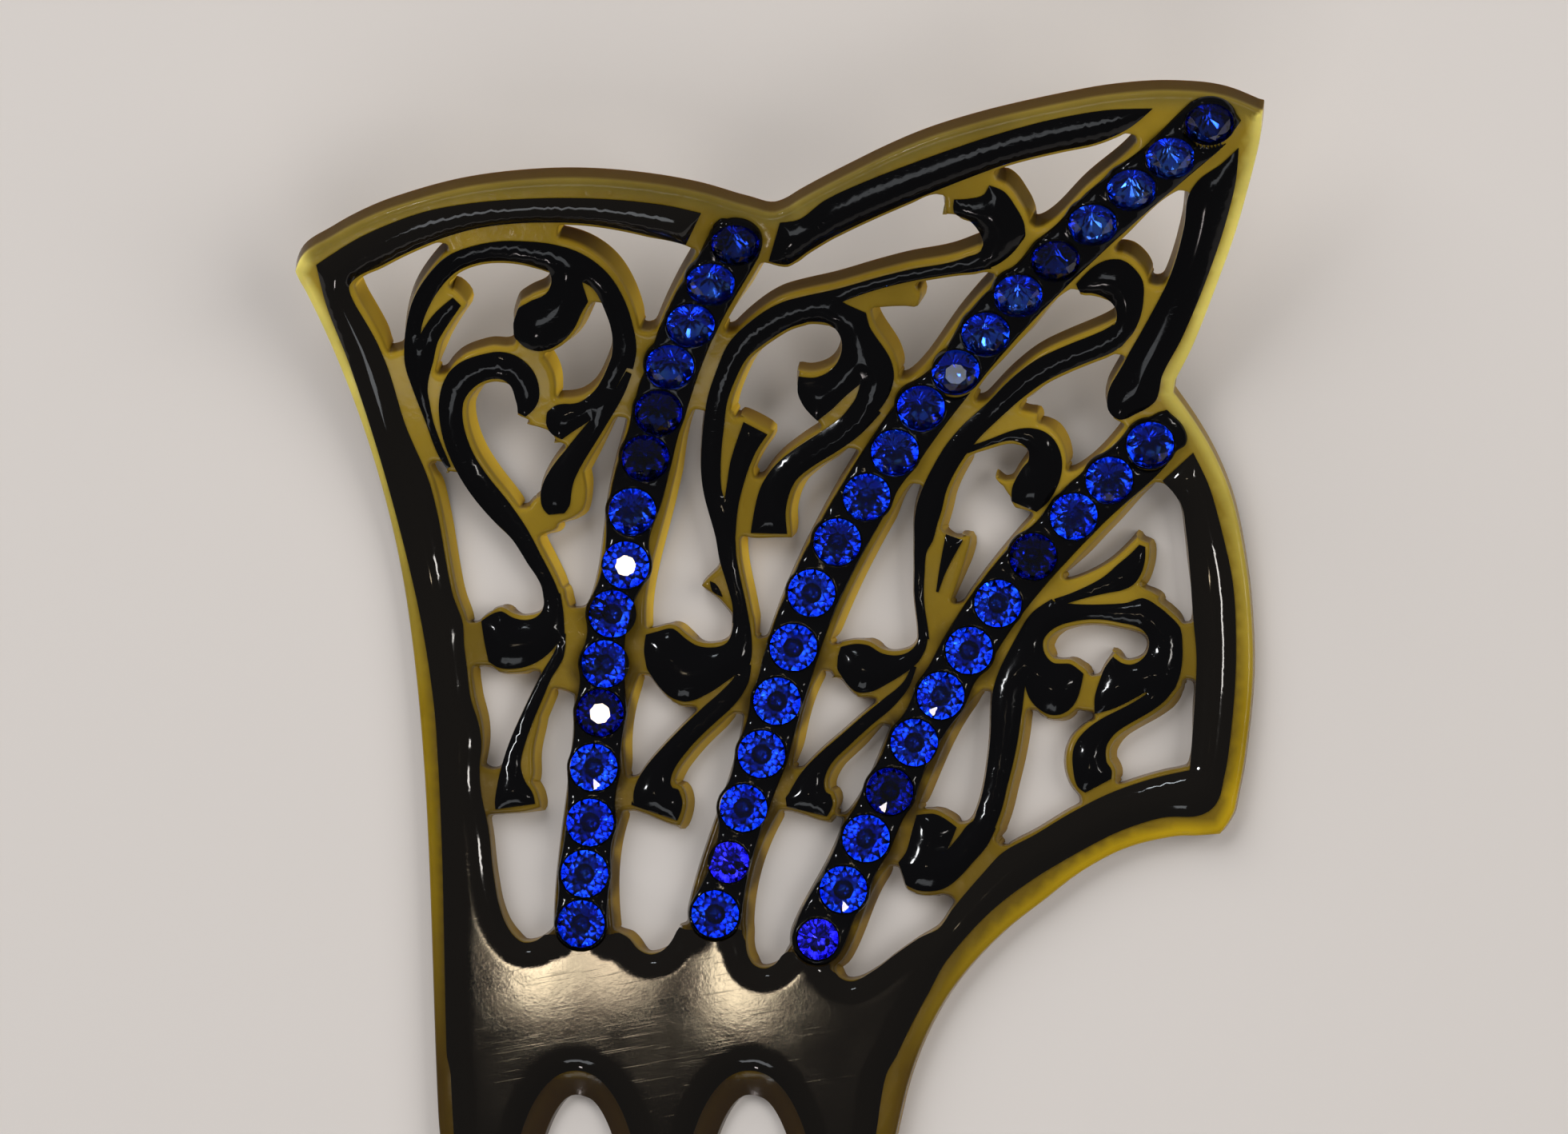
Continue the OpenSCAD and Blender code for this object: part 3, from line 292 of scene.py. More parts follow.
def drop_straight(
    points: np.ndarray, least_turn: float = math.radians(0.6), least_step: float = 0.02
) -> np.ndarray:
    """Drops points at which a closed outline doesn't turn, and points on top of each other.

    Args:
        points: rows of x, y.
        least_turn: turn at which a point counts.
        least_step: distance below which two points are one.

    Returns:
        The rows that are left.
    """
    apart = np.linalg.norm(np.roll(points, -1, axis=0) - points, axis=1) > least_step
    points = points[apart]
    back = unit(points - np.roll(points, 1, axis=0))
    ahead = unit(np.roll(points, -1, axis=0) - points)
    return points[np.arccos(np.clip(np.sum(back * ahead, axis=1), -1.0, 1.0)) > least_turn]


def border_edges(triangles: np.ndarray) -> np.ndarray:
    """Edges that the triangles have more often in one direction than in the other.

    Args:
        triangles: rows of three vertices.

    Returns:
        Rows of two vertices, once for each time that an edge is left over.
    """
    edges = np.vstack([triangles[:, [0, 1]], triangles[:, [1, 2]], triangles[:, [2, 0]]])
    edges = edges[edges[:, 0] != edges[:, 1]]
    direction = np.where(edges[:, 0] < edges[:, 1], 1, -1)
    pairs, which = np.unique(np.sort(edges, axis=1), axis=0, return_inverse=True)
    left = np.bincount(which.ravel(), weights=direction, minlength=len(pairs)).astype(np.int64)
    rows = np.where(left[:, None] > 0, pairs, pairs[:, ::-1])
    return np.repeat(rows, np.abs(left), axis=0)


def winding(points: np.ndarray, starts: np.ndarray, ends: np.ndarray) -> np.ndarray:
    """How often directed edges run round each point.

    Args:
        points: rows of x, y.
        starts: where each edge starts.
        ends: where it ends.

    Returns:
        The counts, above zero inside.
    """
    turns = np.zeros(len(points), dtype=np.int64)
    rise = np.where(ends[:, 1] == starts[:, 1], 1.0, ends[:, 1] - starts[:, 1])
    for first in range(0, len(points), CHUNK):
        x, y = points[first:first + CHUNK].T
        up = (starts[:, 1][None] <= y[:, None]) & (ends[:, 1][None] > y[:, None])
        down = (starts[:, 1][None] > y[:, None]) & (ends[:, 1][None] <= y[:, None])
        at = starts[:, 0] + (y[:, None] - starts[:, 1]) * (ends[:, 0] - starts[:, 0]) / rise
        right = at > x[:, None]
        turns[first:first + CHUNK] = np.sum(up & right, axis=1) - np.sum(down & right, axis=1)
    return turns


def merged(corners: np.ndarray, rows: np.ndarray, snap: float = 0.003) -> list[Loop]:
    """Outline of areas that may touch or lie over each other.

    Args:
        corners: rows of x, y.
        rows: directed edges between them, with an area on the left of each.
        snap: distance below which two corners are one.

    Returns:
        The loops, the longest area first.
    """
    made = geometry.delaunay_2d_cdt([Vector(p) for p in corners], rows.tolist(), [], 0, snap, False)
    spots = np.array([tuple(p) for p in made[0]])
    filled = np.array(made[2], dtype=np.int64)
    inside = winding(spots[filled].mean(axis=1), corners[rows[:, 0]], corners[rows[:, 1]]) > 0
    following: dict[int, list[int]] = {}
    for a, b in border_edges(filled[inside]).tolist():
        following.setdefault(a, []).append(b)
    loops = []
    while following:
        start = min(following)
        chain = [start]
        while chain[-1] in following:
            ends = following[chain[-1]]
            step = ends.pop()
            if not ends:
                del following[chain[-1]]
            if step == start:
                break
            chain.append(step)
        if len(chain) > 2:
            loops.append(Loop(spots[chain]))
    return sorted(loops, key=lambda loop: -abs(loop.area))


def united(loops: list[Loop]) -> list[Loop]:
    """Outline of some loops together.

    Args:
        loops: outlines of areas that may lie over each other.

    Returns:
        The loops round them all.
    """
    rows = []
    start = 0
    for loop in loops:
        i = np.arange(len(loop.points))
        rows.append(start + np.column_stack([i, (i + 1) % len(i)]))
        start += len(i)
    return merged(np.vstack([loop.points for loop in loops]), np.vstack(rows))


class SolidFace:
    """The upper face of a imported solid, as loops in the plan."""

    WELD = 0.004
    UPWARD = 0.5
    BAND = 0.2

    def __init__(self, node: bpy.types.Object, rise: float) -> None:
        """Reads the loops.

        Args:
            node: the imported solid's object.
            rise: height of its upper face above the amber.
        """
        mesh = node.data
        mesh.calc_loop_triangles()
        points = vertex_places(mesh) / MM
        index = np.empty(len(mesh.loop_triangles) * 3, dtype=np.int64)
        mesh.loop_triangles.foreach_get("vertices", index)
        triangles = index.reshape(-1, 3)
        edges = np.cross(points[triangles[:, 1]] - points[triangles[:, 0]],
                         points[triangles[:, 2]] - points[triangles[:, 0]])
        middle = points[triangles].mean(axis=1)
        risen = (middle[:, 2] - CURL.height(middle[:, 1])) * np.cos(CURL.tilt(middle[:, 1]))
        upward = edges[:, 2] > self.UPWARD * np.linalg.norm(edges, axis=1)
        self.loops = self._chain(points[:, :2], triangles[upward & (np.abs(risen - rise) < self.BAND)])

    def _chain(self, plan: np.ndarray, triangles: np.ndarray) -> list[Loop]:
        """Joins the border of some triangles into loops. Solids that touch count as one.

        Args:
            plan: x, y of each vertex.
            triangles: rows of three vertices.

        Returns:
            The loops, the longest area first.
        """
        ids, places = self._welded(plan)
        used, rows = np.unique(border_edges(ids[triangles]), return_inverse=True)
        return merged(places[used], rows.reshape(-1, 2))

    def _welded(self, plan: np.ndarray) -> tuple[np.ndarray, np.ndarray]:
        """Gives the same number to vertices in the same place.

        Args:
            plan: x, y of each vertex.

        Returns:
            The number of each vertex, and the x, y of each number.
        """
        tree = search_tree(plan)
        ids = np.full(len(plan), -1)
        places: list[np.ndarray] = []
        for i, (x, y) in enumerate(plan):
            if ids[i] >= 0:
                continue
            for _, j, _ in tree.find_range((x, y, 0.0), self.WELD):
                if ids[j] < 0:
                    ids[j] = len(places)
            places.append(plan[i])
        return ids, np.array(places)


class EdgeField:
    """Distance from points of the plan to some loops."""

    STEP = 0.1

    def __init__(self, loops: list[Loop], apart: "EdgeField | None" = None, least: float = 0.0) -> None:
        """Samples the loops.

        Args:
            loops: the outlines.
            apart: edges near which the loops don't count.
            least: how near that is.
        """
        starts, ends = [], []
        for loop in loops:
            after = np.roll(loop.points, -1, axis=0)
            for a, b in zip(loop.points, after):
                parts = max(1, math.ceil(np.linalg.norm(b - a) / self.STEP))
                t = np.linspace(0.0, 1.0, parts + 1)[:, None]
                line = a * (1.0 - t) + b * t
                starts.append(line[:-1])
                ends.append(line[1:])
        self.starts = np.vstack(starts)
        self.ends = np.vstack(ends)
        middles = (self.starts + self.ends) / 2.0
        if apart is not None:
            kept = apart.distance(middles) > least
            self.starts, self.ends, middles = self.starts[kept], self.ends[kept], middles[kept]
        self.tree = search_tree(middles)

    def distance(self, points: np.ndarray) -> np.ndarray:
        """Distance of each point to the nearest loop.

        Args:
            points: rows of x, y.

        Returns:
            The distances.
        """
        near = np.array([self.tree.find((x, y, 0.0))[1] for x, y in points], dtype=np.int64)
        a, b = self.starts[near], self.ends[near]
        along = b - a
        share = np.sum((points - a) * along, axis=1) / np.maximum(np.sum(along * along, axis=1), TINY)
        closest = a + np.clip(share, 0.0, 1.0)[:, None] * along
        return np.linalg.norm(points - closest, axis=1)


def crossings(loops: list[Loop], y: float) -> np.ndarray:
    """X of each place where the loops cross a level line.

    Args:
        loops: the outlines.
        y: height of the line.

    Returns:
        The places in order.
    """
    found = []
    for loop in loops:
        a, b = loop.points, np.roll(loop.points, -1, axis=0)
        cut = (a[:, 1] <= y) != (b[:, 1] <= y)
        p, q = a[cut], b[cut]
        found.append(p[:, 0] + (y - p[:, 1]) * (q[:, 0] - p[:, 0]) / (q[:, 1] - p[:, 1]))
    return np.sort(np.concatenate(found))


def grid_inside(loops: list[Loop], spacing: float) -> np.ndarray:
    """Points of a triangular grid that lie in the material.

    Args:
        loops: the outlines.
        spacing: distance between neighbours.

    Returns:
        Rows of x, y.
    """
    everything = np.vstack([loop.points for loop in loops])
    low, high = everything.min(axis=0), everything.max(axis=0)
    rows = []
    levels = np.arange(low[1] + spacing / 3.0, high[1], spacing * ROW_STEP)
    for number, y in enumerate(levels):
        first = low[0] + (number % 2) * spacing / 2.0
        xs = crossings(loops, y)
        for left, right in zip(xs[::2], xs[1::2]):
            steps = np.arange(math.ceil((left - first) / spacing), math.floor((right - first) / spacing) + 1)
            if len(steps):
                rows.append(np.column_stack([first + steps * spacing, np.full(len(steps), y)]))
    return np.vstack(rows) if rows else np.zeros((0, 2))


def is_inside(points: np.ndarray, loops: list[Loop]) -> np.ndarray:
    """Tells which points lie in the material.

    Args:
        points: rows of x, y.
        loops: the outlines.

    Returns:
        True or False for each point.
    """
    inside = np.zeros(len(points), dtype=bool)
    for loop in loops:
        a, b = loop.points, np.roll(loop.points, -1, axis=0)
        for start in range(0, len(points), CHUNK):
            x, y = points[start:start + CHUNK].T
            cut = (a[:, 1][None] <= y[:, None]) != (b[:, 1][None] <= y[:, None])
            rise = np.where(b[:, 1] == a[:, 1], 1.0, b[:, 1] - a[:, 1])
            at = a[:, 0] + (y[:, None] - a[:, 1]) * (b[:, 0] - a[:, 0]) / rise
            inside[start:start + CHUNK] ^= (np.sum(cut & (at > x[:, None]), axis=1) % 2).astype(bool)
    return inside


class PlanMesh:
    """Triangles that fill some loops, with more points inside them. Loop points come first."""

    EPSILON = 1e-7

    def __init__(self, loops: list[Loop], inner: np.ndarray) -> None:
        """Triangulates the loops and the points.

        Args:
            loops: the outlines.
            inner: rows of x, y inside them.
        """
        self.loops = loops
        rim = np.vstack([loop.points for loop in loops])
        self.rim_count = len(rim)
        self.plan = np.vstack([rim, inner]) if len(inner) else rim
        self.starts = np.cumsum([0] + [len(loop.points) for loop in loops])
        edges = []
        for start, loop in zip(self.starts, loops):
            count = len(loop.points)
            edges += [(int(start + i), int(start + (i + 1) % count)) for i in range(count)]
        made = geometry.delaunay_2d_cdt([Vector(p) for p in self.plan], edges, [], 0, self.EPSILON, True)
        where, triangles, sources = made[0], made[2], made[3]
        extra = [i for i, source in enumerate(sources) if not source]
        if extra:
            LOG.warning("outlines cross at %d places, first at %s", len(extra), tuple(where[extra[0]]))
            self.plan = np.vstack([self.plan, [tuple(where[i]) for i in extra]])
        number = {made_at: len(self.plan) - len(extra) + k for k, made_at in enumerate(extra)}
        back = np.array([number[i] if i in number else source[0] for i, source in enumerate(sources)])
        rows = back[np.array(triangles, dtype=np.int64)]
        doubtful = np.all((rows < self.rim_count) | (rows >= len(self.plan) - len(extra)), axis=1)
        keep = ~doubtful
        keep[doubtful] = is_inside(self.plan[rows[doubtful]].mean(axis=1), loops)
        self.triangles = rows[keep]

    def smoothed(self, values: np.ndarray, free: np.ndarray, rounds: int, share: float = 0.5) -> np.ndarray:
        """Evens out a value over the mesh where it is free to change.

        Args:
            values: one number a point.
            free: how free each point is, from 0 to 1.
            rounds: how often the values move.
            share: how far they move each time.

        Returns:
            The evened values.
        """
        t = self.triangles
        pairs = np.vstack([t[:, [0, 1]], t[:, [1, 2]], t[:, [2, 0]]])
        pairs = np.vstack([pairs, pairs[:, ::-1]])
        count = np.maximum(np.bincount(pairs[:, 0], minlength=len(values)), 1)
        values = values.copy()
        for _ in range(rounds):
            mean = np.bincount(pairs[:, 0], weights=values[pairs[:, 1]], minlength=len(values)) / count
            values += share * free * (mean - values)
        return values


def shoulder_rings(
    loops: list[Loop], depths: tuple[float, ...], edge: EdgeField, clear: float = 0.96
) -> np.ndarray:
    """Points at some depths inside the loops, where they stay clear of the far side.

    Args:
        loops: the outlines.
        depths: distances from the edge.
        edge: distance to all the loops.
        clear: share of the depth that a point keeps from every edge.

    Returns:
        Rows of x, y.
    """
    rows = []
    for depth in depths:
        for loop in loops:
            moved = loop.points + loop.inward() * depth
            moved = moved[is_inside(moved, loops)]
            if len(moved):
                rows.append(moved[edge.distance(moved) > clear * depth])
    return thinned(np.vstack(rows)) if rows else np.zeros((0, 2))


def thinned(points: np.ndarray, least: float = 0.03) -> np.ndarray:
    """Drops points that lie almost on an earlier one.

    Args:
        points: rows of x, y.
        least: distance to keep between two points.

    Returns:
        The points that are left.
    """
    tree = search_tree(points)
    keep = np.ones(len(points), dtype=bool)
    for i, (x, y) in enumerate(points):
        if keep[i]:
            for _, j, _ in tree.find_range((x, y, 0.0), least):
                if j > i:
                    keep[j] = False
    return points[keep]


@dataclass
class Shell:
    """Vertices and faces of one mesh as they are gathered, with named numbers for its vertices."""

    vertices: list[np.ndarray] = field(default_factory=list)
    faces: list[tuple[int, ...]] = field(default_factory=list)
    slots: list[int] = field(default_factory=list)
    marks: dict[str, list[np.ndarray]] = field(default_factory=dict)
    count: int = 0

    def add(self, points: np.ndarray, **marks: np.ndarray) -> int:
        """Adds vertices.

        Args:
            points: rows of x, y, z in millimetres.
            marks: named numbers, one for each row or one for all.

        Returns:
            The number of the first new vertex.
        """
        first = self.count
        self.vertices.append(points)
        self.count += len(points)
        for name, values in marks.items():
            self.marks.setdefault(name, []).append(np.broadcast_to(values, (len(points),)).astype(float))
        return first

    def fill(self, rows: np.ndarray, slot: int = 0) -> None:
        """Adds faces from rows of vertex numbers, in one material slot."""
        self.faces += [tuple(row) for row in rows.tolist()]
        self.slots += [slot] * len(rows)

    def wall(self, upper: int, lower: int, count: int) -> None:
        """Joins two rings of vertices, with the material on the left of the upper one.

        Args:
            upper: first vertex of the upper ring.
            lower: first vertex of the lower ring.
            count: vertices in each.
        """
        i = np.arange(count)
        j = (i + 1) % count
        self.fill(np.column_stack([upper + j, upper + i, lower + i, lower + j]))

    def make(self, name: str, materials: list[bpy.types.Material], crease: float) -> bpy.types.Object:
        """Makes the object, in metres.

        Args:
            name: the piece's name.
            materials: one material for each slot.
            crease: angle above which an edge is sharp, in radians.

        Returns:
            The new object.
        """
        mesh = bpy.data.meshes.new(name)
        mesh.from_pydata((np.vstack(self.vertices) * MM).tolist(), [], self.faces)
        for mark, parts in self.marks.items():
            layer = mesh.attributes.new(mark, "FLOAT", "POINT")
            layer.data.foreach_set("value", np.concatenate(parts).astype(np.float32))
        for material in materials:
            mesh.materials.append(material)
        mesh.polygons.foreach_set("material_index", self.slots)
        mesh.polygons.foreach_set("use_smooth", [crease > 0.0] * len(self.faces))
        if crease > 0.0:
            mesh.set_sharp_from_angle(angle=crease)
        mesh.validate()
        mesh.update()
        made = bpy.data.objects.new(name, mesh)
        bpy.context.scene.collection.objects.link(made)
        return made


def even_normals(piece: bpy.types.Object, surface: PlanMesh, rounds: int = 4) -> None:
    """Evens out the normals of a piece's upper surface, so that its highlights run smoothly.

    Args:
        piece: an object whose first vertices and faces are those of the surface.
        surface: the upper surface.
        rounds: how often each normal moves towards its neighbours.
    """
    mesh = piece.data
    places = vertex_places(mesh)
    rows = surface.triangles
    faces = np.cross(places[rows[:, 1]] - places[rows[:, 0]], places[rows[:, 2]] - places[rows[:, 0]])
    normals = np.zeros((len(surface.plan), 3))
    for corner in range(3):
        np.add.at(normals, rows[:, corner], faces)
    normals = unit(normals)
    free = np.ones(len(normals))
    normals = unit(np.column_stack([surface.smoothed(normals[:, axis], free, rounds) for axis in range(3)]))
    used = np.empty(len(mesh.loops), dtype=np.int64)
    mesh.loops.foreach_get("vertex_index", used)
    upper = 3 * len(rows)
    corners = np.zeros((len(used), 3))
    corners[:upper] = normals[used[:upper]]
    mesh.normals_split_custom_set(corners.tolist())


def settle(piece: bpy.types.Object, slot: str, *nodes: str) -> None:
    """Makes a piece ride on the comb in place of its solids, and reports it.

    Args:
        piece: the detailed object.
        slot: not used.
        nodes: the solids that it stands for.
    """
    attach(piece, BODY)
    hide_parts(*nodes)
    LOG.info("%s: %d faces, stands for %s", piece.name, len(piece.data.polygons), ", ".join(nodes))


@dataclass(frozen=True)
class Noise:
    """Noise in a finish: feature size in millimetres, octaves, and the values between which it is spread."""

    size: float
    detail: float = 3.0
    low: float = 0.0
    high: float = 1.0


class Shader:
    """A node material under construction."""

    # Numbers of the Mix node's colour sockets, which share their names with its other sockets
    FIRST_COLOUR = 6
    SECOND_COLOUR = 7
    MIXED_COLOUR = 2

    def __init__(self, name: str) -> None:
        """Starts an empty material with a principled surface.

        Args:
            name: the material's name.
        """
        self.material = bpy.data.materials.new(name)
        self.material.use_nodes = True
        self.tree = self.material.node_tree
        self.surface = next(n for n in self.tree.nodes if n.type == "BSDF_PRINCIPLED")
        self.place = self.node("ShaderNodeTexCoord").outputs["Object"]

    def node(self, kind: str, **inputs: object) -> bpy.types.Node:
        """Adds a node.

        Args:
            kind: Blender's name of the node type.
            inputs: socket values or links, with underscores for spaces.

        Returns:
            The node.
        """
        made = self.tree.nodes.new(kind)
        for name, value in inputs.items():
            self.feed(made.inputs[name.replace("_", " ")], value)
        return made

    def feed(self, socket: bpy.types.NodeSocket, value: object) -> None:
        """Sets a socket, or links it when the value is another socket.

        Args:
            socket: what is fed.
            value: a plain value or a socket.
        """
        if isinstance(value, bpy.types.NodeSocket):
            self.tree.links.new(value, socket)
        else:
            socket.default_value = value

    def set(self, **inputs: object) -> None:
        """Sets or links sockets of the surface, with underscores for spaces."""
        for name, value in inputs.items():
            self.feed(self.surface.inputs[name.replace("_", " ")], value)

    def stretched(self, scale: tuple[float, float, float], turn: float = 0.0) -> bpy.types.NodeSocket:
        """The place on the piece, scaled along each axis after a turn about Z."""
        turned = self.node("ShaderNodeMapping", Vector=self.place, Rotation=(0.0, 0.0, turn))
        return self.node("ShaderNodeMapping", Vector=turned.outputs["Vector"], Scale=scale).outputs["Vector"]

    def noise(self, noise: Noise, place: object = None) -> bpy.types.NodeSocket:
        """Plain noise.

        Args:
            noise: its size and octaves.
            place: where it is read, or the piece's own place.

        Returns:
            Values from 0 to 1.
        """
        scale = 1.0 / (noise.size * MM)
        vector = place or self.place
        made = self.node("ShaderNodeTexNoise", Vector=vector, Scale=scale, Detail=noise.detail)
        return made.outputs["Fac"]

    def patches(self, noise: Noise, low: float, high: float, place: object = None) -> bpy.types.NodeSocket:
        """Noise spread over a range of values.

        Args:
            noise: the noise.
            low: value where it is low.
            high: value where it is high.
            place: where it is read, or the piece's own place.

        Returns:
            Values between the two.
        """
        return self.spread(self.noise(noise, place), (noise.low, noise.high), low, high)

    def spread(
        self, value: object, band: tuple[float, float], to_low: float, to_high: float
    ) -> bpy.types.NodeSocket:
        """Maps a value from one range to another and holds it there.

        Args:
            value: what is mapped.
            band: the range that it comes from.
            to_low: what the band's lower end becomes.
            to_high: what its upper end becomes.

        Returns:
            The mapped value.
        """
        made = self.node("ShaderNodeMapRange", Value=value, From_Min=band[0], From_Max=band[1])
        self.feed(made.inputs["To Min"], to_low)
        self.feed(made.inputs["To Max"], to_high)
        made.clamp = True
        return made.outputs["Result"]

    def greater(self, first: object, second: object) -> bpy.types.NodeSocket:
        """The greater of two values.

        Args:
            first: value or socket.
            second: value or socket.

        Returns:
            The greater one at each place.
        """
        made = self.node("ShaderNodeMath")
        made.operation = "MAXIMUM"
        self.feed(made.inputs[0], first)
        self.feed(made.inputs[1], second)
        return made.outputs[0]

    def blend(self, share: object, first: object, second: object) -> bpy.types.NodeSocket:
        """Mixes two colours.

        Args:
            share: 0 for the first, 1 for the second.
            first: colour or socket.
            second: colour or socket.

        Returns:
            The mixed colour.
        """
        made = self.tree.nodes.new("ShaderNodeMix")
        made.data_type = "RGBA"
        self.feed(made.inputs["Factor"], share)
        for number, colour in ((self.FIRST_COLOUR, first), (self.SECOND_COLOUR, second)):
            self.feed(made.inputs[number], (*colour, 1.0) if isinstance(colour, tuple) else colour)
        return made.outputs[self.MIXED_COLOUR]

    def mark(self, name: str) -> bpy.types.NodeSocket:
        """Reads a named number that a mesh carries.

        Args:
            name: its name.

        Returns:
            The number at each place.
        """
        made = self.node("ShaderNodeAttribute")
        made.attribute_name = name
        return made.outputs["Fac"]

    def bump(
        self, height: object, depth: float, share: float = 1.0, under: object = None
    ) -> bpy.types.NodeSocket:
        """Turns a height into a normal.

        Args:
            height: values from 0 to 1.
            depth: height that 1 stands for, in millimetres.
            share: strength.
            under: normal to add it to.

        Returns:
            The normal.
        """
        made = self.node("ShaderNodeBump", Height=height, Strength=share, Distance=depth * MM)
        if under is not None:
            self.feed(made.inputs["Normal"], under)
        return made.outputs["Normal"]


@dataclass(frozen=True)
class BlackFinish:
    """Black celluloid, from a bright polish to a rubbed satin. Depths in millimetres."""

    name: str
    colour: tuple[float, float, float] = (0.0025, 0.0024, 0.0028)
    smooth: float = 0.05
    dull: float = 0.10
    ripple: float = 0.014
    grain: float = 0.0
    scratch: float = 0.0015
    specular: float = 0.17

    POLISH = Noise(4.0, low=0.35, high=0.65)
    RIPPLE = Noise(1.9)
    RIPPLE_SHARE = 0.5
    SCRATCH = Noise(0.10, 1.0, 0.66, 0.76)
    SCRATCH_SCALE = (1.0, 0.02, 1.0)
    SCRATCH_TURN = math.radians(80.0)
    GRAIN = Noise(0.22, 4.0, 0.45, 0.75)

    def build(self) -> bpy.types.Material:
        """Makes the material.

        Returns:
            The material.
        """
        shader = Shader(self.name)
        shader.set(
            Base_Color=(*self.colour, 1.0),
            Roughness=shader.patches(self.POLISH, self.smooth, self.dull),
            IOR=IOR,
            Specular_IOR_Level=self.specular,
        )
        wave = shader.bump(shader.noise(self.RIPPLE), self.ripple, self.RIPPLE_SHARE)
        along = shader.stretched(self.SCRATCH_SCALE, self.SCRATCH_TURN)
        scratches = shader.patches(self.SCRATCH, 0.0, 1.0, along)
        scratched = shader.bump(scratches, self.scratch, under=wave)
        speckle = shader.patches(self.GRAIN, 0.0, 1.0)
        shader.set(Normal=shader.bump(speckle, self.grain, under=scratched))
        return shader.material


POLISHED = BlackFinish("black_polished")
RUBBED = BlackFinish(
    "black_rubbed", colour=(0.006, 0.0048, 0.0036), smooth=0.04, dull=0.06,
    ripple=0.003, grain=0.0003, scratch=0.0003, specular=0.34,
)


@dataclass(frozen=True)
class AmberFinish:
    """Translucent honey celluloid: pale high up, mustard at the rim, brown in the cut edges, with painted
    golden light on the cut edges that face right or down the comb.

    Heights along the comb are in metres, depths in millimetres.
    """

    high: tuple[float, float, float] = (0.43, 0.29, 0.024)
    low: tuple[float, float, float] = (0.085, 0.050, 0.004)
    rim_high: tuple[float, float, float] = (0.90, 0.78, 0.190)
    rim_low: tuple[float, float, float] = (0.47, 0.315, 0.008)
    rim_foot: tuple[float, float, float] = (0.080, 0.048, 0.008)
    wall: tuple[float, float, float] = (0.15, 0.082, 0.018)
    # Painted light: the golden colour of cut edges that face right or down the comb, as if lit from there
    gold: tuple[float, float, float] = (0.80, 0.52, 0.045)
    # Colour of the shade mark: painted shade, and the amber's darker places
    dark: tuple[float, float, float] = (0.020, 0.010, 0.004)
    rim_heights: tuple[float, float] = (0.030, 0.062)
    foot_heights: tuple[float, float] = (0.000, 0.020)
    cloudy: float = 0.25
    face_specular: float = 0.18
    wall_specular: float = 0.04
    bevel_specular: float = 0.5
    smooth: float = 0.13
    dull: float = 0.22
    ripple: float = 0.08
    glow: float = 0.35
    glow_radius: tuple[float, float, float] = (1.0, 0.62, 0.20)
    glow_depth: float = 0.7

    CLOUDS = Noise(6.0, 4.0, 0.40, 0.70)
    POLISH = Noise(1.4, low=0.3, high=0.7)
    RIPPLE = Noise(1.3)
    RIPPLE_SHARE = 0.6
    WALL_MARKS = (0.0, 0.6)
    BEVEL_SHADES = (0.74, 0.80)

    def build(self) -> bpy.types.Material:
        """Makes the material.

        Returns:
            The material.
        """
        shader = Shader("amber")
        height = shader.node("ShaderNodeSeparateXYZ", Vector=shader.place).outputs["Y"]
        face = shader.blend(shader.mark("tone"), self.low, self.high)
        rim = shader.blend(shader.spread(height, self.rim_heights, 0.0, 1.0), self.rim_low, self.rim_high)
        rim = shader.blend(shader.spread(height, self.foot_heights, 0.0, 1.0), self.rim_foot, rim)
        # Painted light: cut edges turn golden where they face right or down the comb
        wall = shader.blend(shader.mark("gold"), self.wall, self.gold)
        body = shader.blend(shader.mark("rim"), face, rim)
        body = shader.blend(shader.patches(self.CLOUDS, 0.0, self.cloudy), body, self.low)
        body = shader.blend(shader.mark("wall"), body, wall)
        # Painted shade, together with the amber's darker spots and places, from the shade mark
        body = shader.blend(shader.mark("shade"), body, self.dark)
        sheen = shader.spread(shader.mark("wall"), self.WALL_MARKS, self.face_specular, self.wall_specular)
        bevel = shader.spread(shader.mark("shade"), self.BEVEL_SHADES, 0.0, self.bevel_specular)
        shader.set(
            Base_Color=body,
            Roughness=shader.patches(self.POLISH, self.smooth, self.dull),
            IOR=IOR,
            Specular_IOR_Level=shader.greater(sheen, bevel),
            Subsurface_Weight=self.glow,
            Subsurface_Radius=self.glow_radius,
            Subsurface_Scale=self.glow_depth * MM,
            Normal=shader.bump(shader.noise(self.RIPPLE), self.ripple, self.RIPPLE_SHARE),
        )
        return shader.material


@dataclass(frozen=True)
class GlassFinish:
    """Clear blue glass of a stone's crown."""

    tint: tuple[float, float, float] = (0.74, 0.86, 1.0)
    specular: float = 0.4

    def build(self) -> bpy.types.Material:
        """Makes the material.

        Returns:
            The material.
        """
        shader = Shader("stone_glass")
        shader.set(
            Base_Color=(*self.tint, 1.0),
            Roughness=0.0,
            IOR=IOR,
            Transmission_Weight=1.0,
            Specular_IOR_Level=self.specular,
        )
        return shader.material


FOIL_MOTTLE = Noise(1.1, 2.0, 0.40, 0.70)
FOIL_PALE = 0.7
FOIL_ROUGHNESS = 0.11


class StoneColour(Enum):
    """Foil behind a stone: its colour and the paler colour that it is mottled with."""

    ROYAL = ((0.036, 0.14, 1.0), (0.16, 0.43, 1.0))
    NAVY = ((0.006, 0.025, 0.30), (0.03, 0.10, 0.60))
    VIOLET = ((0.10, 0.080, 1.0), (0.26, 0.26, 1.0))

    def build(self) -> bpy.types.Material:
        """Makes the foil.

        Returns:
            The material.
        """
        shader = Shader(f"foil_{self.name.lower()}")
        deep, pale = self.value
        shader.set(
            Base_Color=shader.blend(shader.patches(FOIL_MOTTLE, 0.0, FOIL_PALE), deep, pale),
            Metallic=1.0,
            Roughness=FOIL_ROUGHNESS,
        )
        return shader.material


